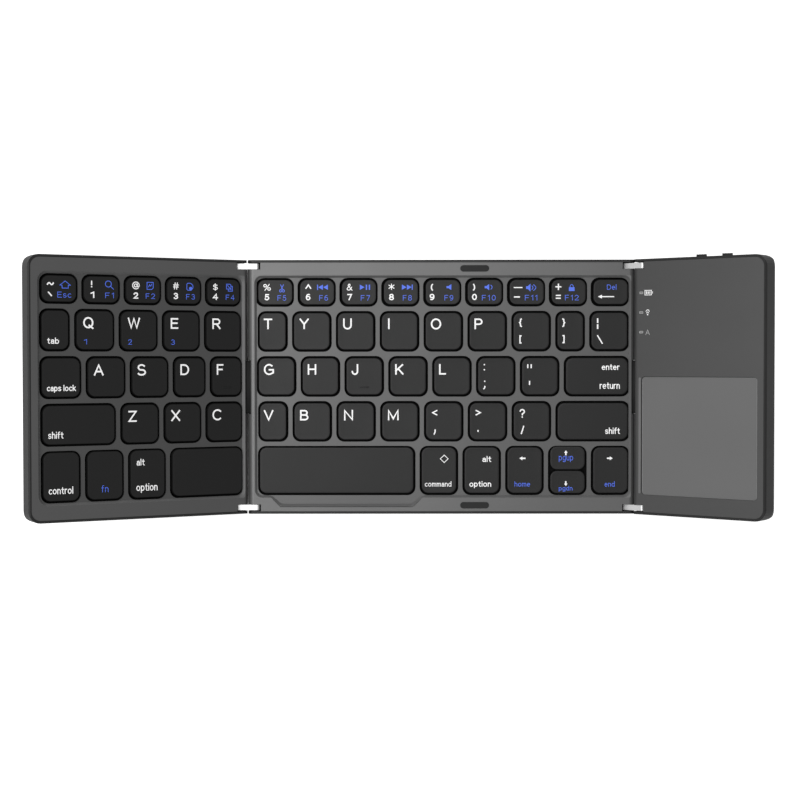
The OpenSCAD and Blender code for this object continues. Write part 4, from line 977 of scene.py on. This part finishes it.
def addTouchpad():
    p = touchpad
    x1, y1 = p["x"] + p["wide"], p["front"] + p["deep"]
    top = p["top"]
    inner = [(p["lip"], top), (p["lip"] + 0.08, top - 0.05), (2, top - 0.05), (8, top - 0.05)]
    rings = padRings(p["x"], x1, p["front"], y1, top - p["thick"], top, p["radius"], p["edge"], inner)
    mesh = ringMesh("touchpadSurface", [rings])
    piece = addPiece(mesh.name, mesh, places["right"], "right_wing",
                     [finishes["touchpad_film"], finishes["pad_lip"]], ["touchpad_surface"])
    middle, across = p["x"] + p["wide"] / 2, p["front"] + p["deep"] / 2
    paint(mesh, places["right"], lambda c: abs(c.x / mm - middle) > p["wide"] / 2 - p["lip"] - 0.04
          or abs(c.y / mm - across) > p["deep"] / 2 - p["lip"] - 0.04, 1)
    return piece


# light strip of the cover along the touchpad's fold side

def addPadStrip():
    front, rear = touchpad["front"] + 0.4, touchpad["front"] + touchpad["deep"] - 0.2
    x0, x1 = padStrip["x"], padStrip["x"] + padStrip["wide"]
    build = padRings(x0, x1, front, rear, -0.3, padStrip["high"], 0.4, 0.05)
    mesh = ringMesh("padStrip", [build])
    addPiece(mesh.name, mesh, places["right"], "right_wing", [finishes["pad_lip"]])


def addLenses():
    s = lenses
    stacks = []
    for y in s["ys"]:
        stacks.append(padRings(s["x"], s["x"] + s["long"], y - s["wide"] / 2, y + s["wide"] / 2, s["bottom"], 0,
                               0.16, 0.08, [(0.16, -0.01), (0.3, -s["dish"])]))
    mesh = ringMesh("indicatorLenses", stacks)
    addPiece(mesh.name, mesh, places["right"], "right_wing", [finishes["window_plastic"], finishes["lamp_shade"]],
             ["indicator_lights"])
    middle = s["x"] + s["long"] / 2
    paint(mesh, places["right"], lambda c: c.z / mm > -0.09 and abs(c.x / mm - middle) < 0.5
          and min(abs(c.y / mm - y) for y in s["ys"]) < 0.2, 1)


addTouchpad()
addPadStrip()
addLenses()
print("folding keyboard: touchpad and lamp lenses are on")

# rubber sleeve round the flexible cable, in two halves on each side: from the centre panel to the middle, and from
# the middle to the wing

sleeve = {"long": 18.2, "reach": 1.2, "top": -0.95, "bottom": -6.0, "ribs": 2, "ribDeep": 0.32, "steps": 12}


def addSleeve(side):
    s = sleeve
    sign = -1 if side == "left" else 1
    half = 67.3 - s["reach"]

    def edge(panel, x, z):
        return places[panel] @ Vector((x * mm, 0, z * mm))

    start = edge("centre", sign * half, s["top"]), edge("centre", sign * half, s["bottom"])
    finish = edge(side, sign * s["reach"], s["top"]), edge(side, sign * s["reach"], s["bottom"])
    for part, (low, high), bodies in (
        ("Inner", (0, 0.5), ("centre_panel", side + "_links")),
        ("Outer", (0.5, 1), (side + "_links", side + "_wing")),
    ):
        build = bmesh.new()
        loops = []
        for i in range(s["steps"] + 1):
            t = low + (high - low) * i / s["steps"]
            top, bottom = start[0].lerp(finish[0], t), start[1].lerp(finish[1], t)
            down = (bottom - top).normalized()
            dip = s["ribDeep"] * mm * (0.5 - 0.5 * math.cos(4 * math.pi * s["ribs"] * t))
            top, bottom = top + down * dip, bottom - down * dip
            ring = []
            for y, inward in ((-0.5, 0.3), (-0.485, 0.0), (0.485, 0.0), (0.5, 0.3)):
                ring.append(top + down * inward * mm + Vector((0, y * s["long"] * mm, 0)))
            for y, inward in ((0.5, 0.3), (0.485, 0.0), (-0.485, 0.0), (-0.5, 0.3)):
                ring.append(bottom - down * inward * mm + Vector((0, y * s["long"] * mm, 0)))
            loops.append([build.verts.new(p) for p in ring])
        count = len(loops[0])
        for lower, upper in zip(loops, loops[1:]):
            for i in range(count):
                build.faces.new((lower[i], lower[(i + 1) % count], upper[(i + 1) % count], upper[i]))
        build.faces.new(loops[-1])
        build.faces.new(loops[0][::-1])
        bmesh.ops.recalc_face_normals(build, faces=build.faces)
        mesh = bpy.data.meshes.new(side + "Sleeve" + part)
        build.to_mesh(mesh)
        build.free()
        smooth(mesh)
        mesh.materials.append(finishes["sleeve_rubber"])
        piece = bpy.data.objects.new(mesh.name, mesh)
        scene.collection.objects.link(piece)
        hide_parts(side + "_cable_sleeve")
        if part == "Inner":
            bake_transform(piece)
        else:
            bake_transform(piece)


addSleeve("left")
addSleeve("right")
print("folding keyboard: cable sleeves are on")

# stage, lights and camera

view = {"at": (3.113, 9.042, 568.061), "turn": (1.3834, -0.3352, 0.0483), "focus": 1617.62}


def addCamera():
    lens = bpy.data.cameras.new("camera")
    lens.sensor_width = 36
    lens.lens = view["focus"] / 800 * 36
    lens.clip_start = 0.01
    lens.clip_end = 20
    rx, ry, rz = (math.radians(a) for a in view["turn"])
    turn = Matrix.Rotation(rz, 3, "Z") @ Matrix.Rotation(ry, 3, "Y") @ Matrix.Rotation(rx, 3, "X")
    camera = bpy.data.objects.new("camera", lens)
    place = turn.transposed().to_4x4()
    place.translation = Vector(view["at"]) * mm
    camera.matrix_world = place
    scene.collection.objects.link(camera)
    scene.camera = camera


studio = {"world": 0.35, "overhead": 12.0, "overheadAt": (-0.48, 0.22, 1.3), "overheadSize": 1.25}


def addStudio():
    mesh = bpy.data.meshes.new("floor")
    half = 3.0
    mesh.from_pydata([(-half, -half, 0), (half, -half, 0), (half, half, 0), (-half, half, 0)], [], [(0, 1, 2, 3)])
    floor = bpy.data.objects.new("floor", mesh)
    scene.collection.objects.link(floor)
    material = bpy.data.materials.new("floorPaper")
    material.use_nodes = True
    nodes, link = material.node_tree.nodes, material.node_tree.links.new
    shader = nodes["Principled BSDF"]
    shader.inputs["Base Color"].default_value = (0.72, 0.72, 0.72, 1)
    shader.inputs["Roughness"].default_value = 0.9
    path = nodes.new("ShaderNodeLightPath")
    lift = mathNode(nodes, "MULTIPLY")
    link(path.outputs["Is Camera Ray"], lift.inputs[0])
    # the floor's camera-only white lift is cut where ambient occlusion finds the floor hidden: painted shade under
    # and beside the keyboard and in the slits of the folds
    open_ = nodes.new("ShaderNodeAmbientOcclusion")
    open_.inputs["Distance"].default_value = 0.03
    share = nodes.new("ShaderNodeMapRange")
    share.inputs["From Min"].default_value = 0.1
    share.inputs["From Max"].default_value = 0.25
    link(open_.outputs["AO"], share.inputs["Value"])
    link(share.outputs["Result"], lift.inputs[1])
    glow = mathNode(nodes, "MULTIPLY", second=0.8)
    link(lift.outputs[0], glow.inputs[0])
    shader.inputs["Emission Color"].default_value = (1, 1, 1, 1)
    link(glow.outputs[0], shader.inputs["Emission Strength"])
    mesh.materials.append(material)
    world = bpy.data.worlds.new("studio")
    scene.world = world
    world.use_nodes = True
    back = world.node_tree.nodes["Background"]
    back.inputs["Color"].default_value = (1, 1, 1, 1)
    tree = world.node_tree
    seen = tree.nodes.new("ShaderNodeLightPath")
    level = tree.nodes.new("ShaderNodeMapRange")
    level.inputs["To Min"].default_value = studio["world"]
    level.inputs["To Max"].default_value = 1
    tree.links.new(seen.outputs["Is Camera Ray"], level.inputs["Value"])
    tree.links.new(level.outputs["Result"], back.inputs["Strength"])
    lamp = bpy.data.lights.new("overhead", "AREA")
    lamp.energy = studio["overhead"]
    lamp.shape = "DISK"
    lamp.size = studio["overheadSize"]
    light = bpy.data.objects.new("overhead", lamp)
    light.location = studio["overheadAt"]
    light.rotation_euler = (-Vector(studio["overheadAt"])).to_track_quat("-Z", "Y").to_euler()
    scene.collection.objects.link(light)


addCamera()
addStudio()
scene.view_settings.view_transform = "Standard"
print("folding keyboard: camera and lights are in")
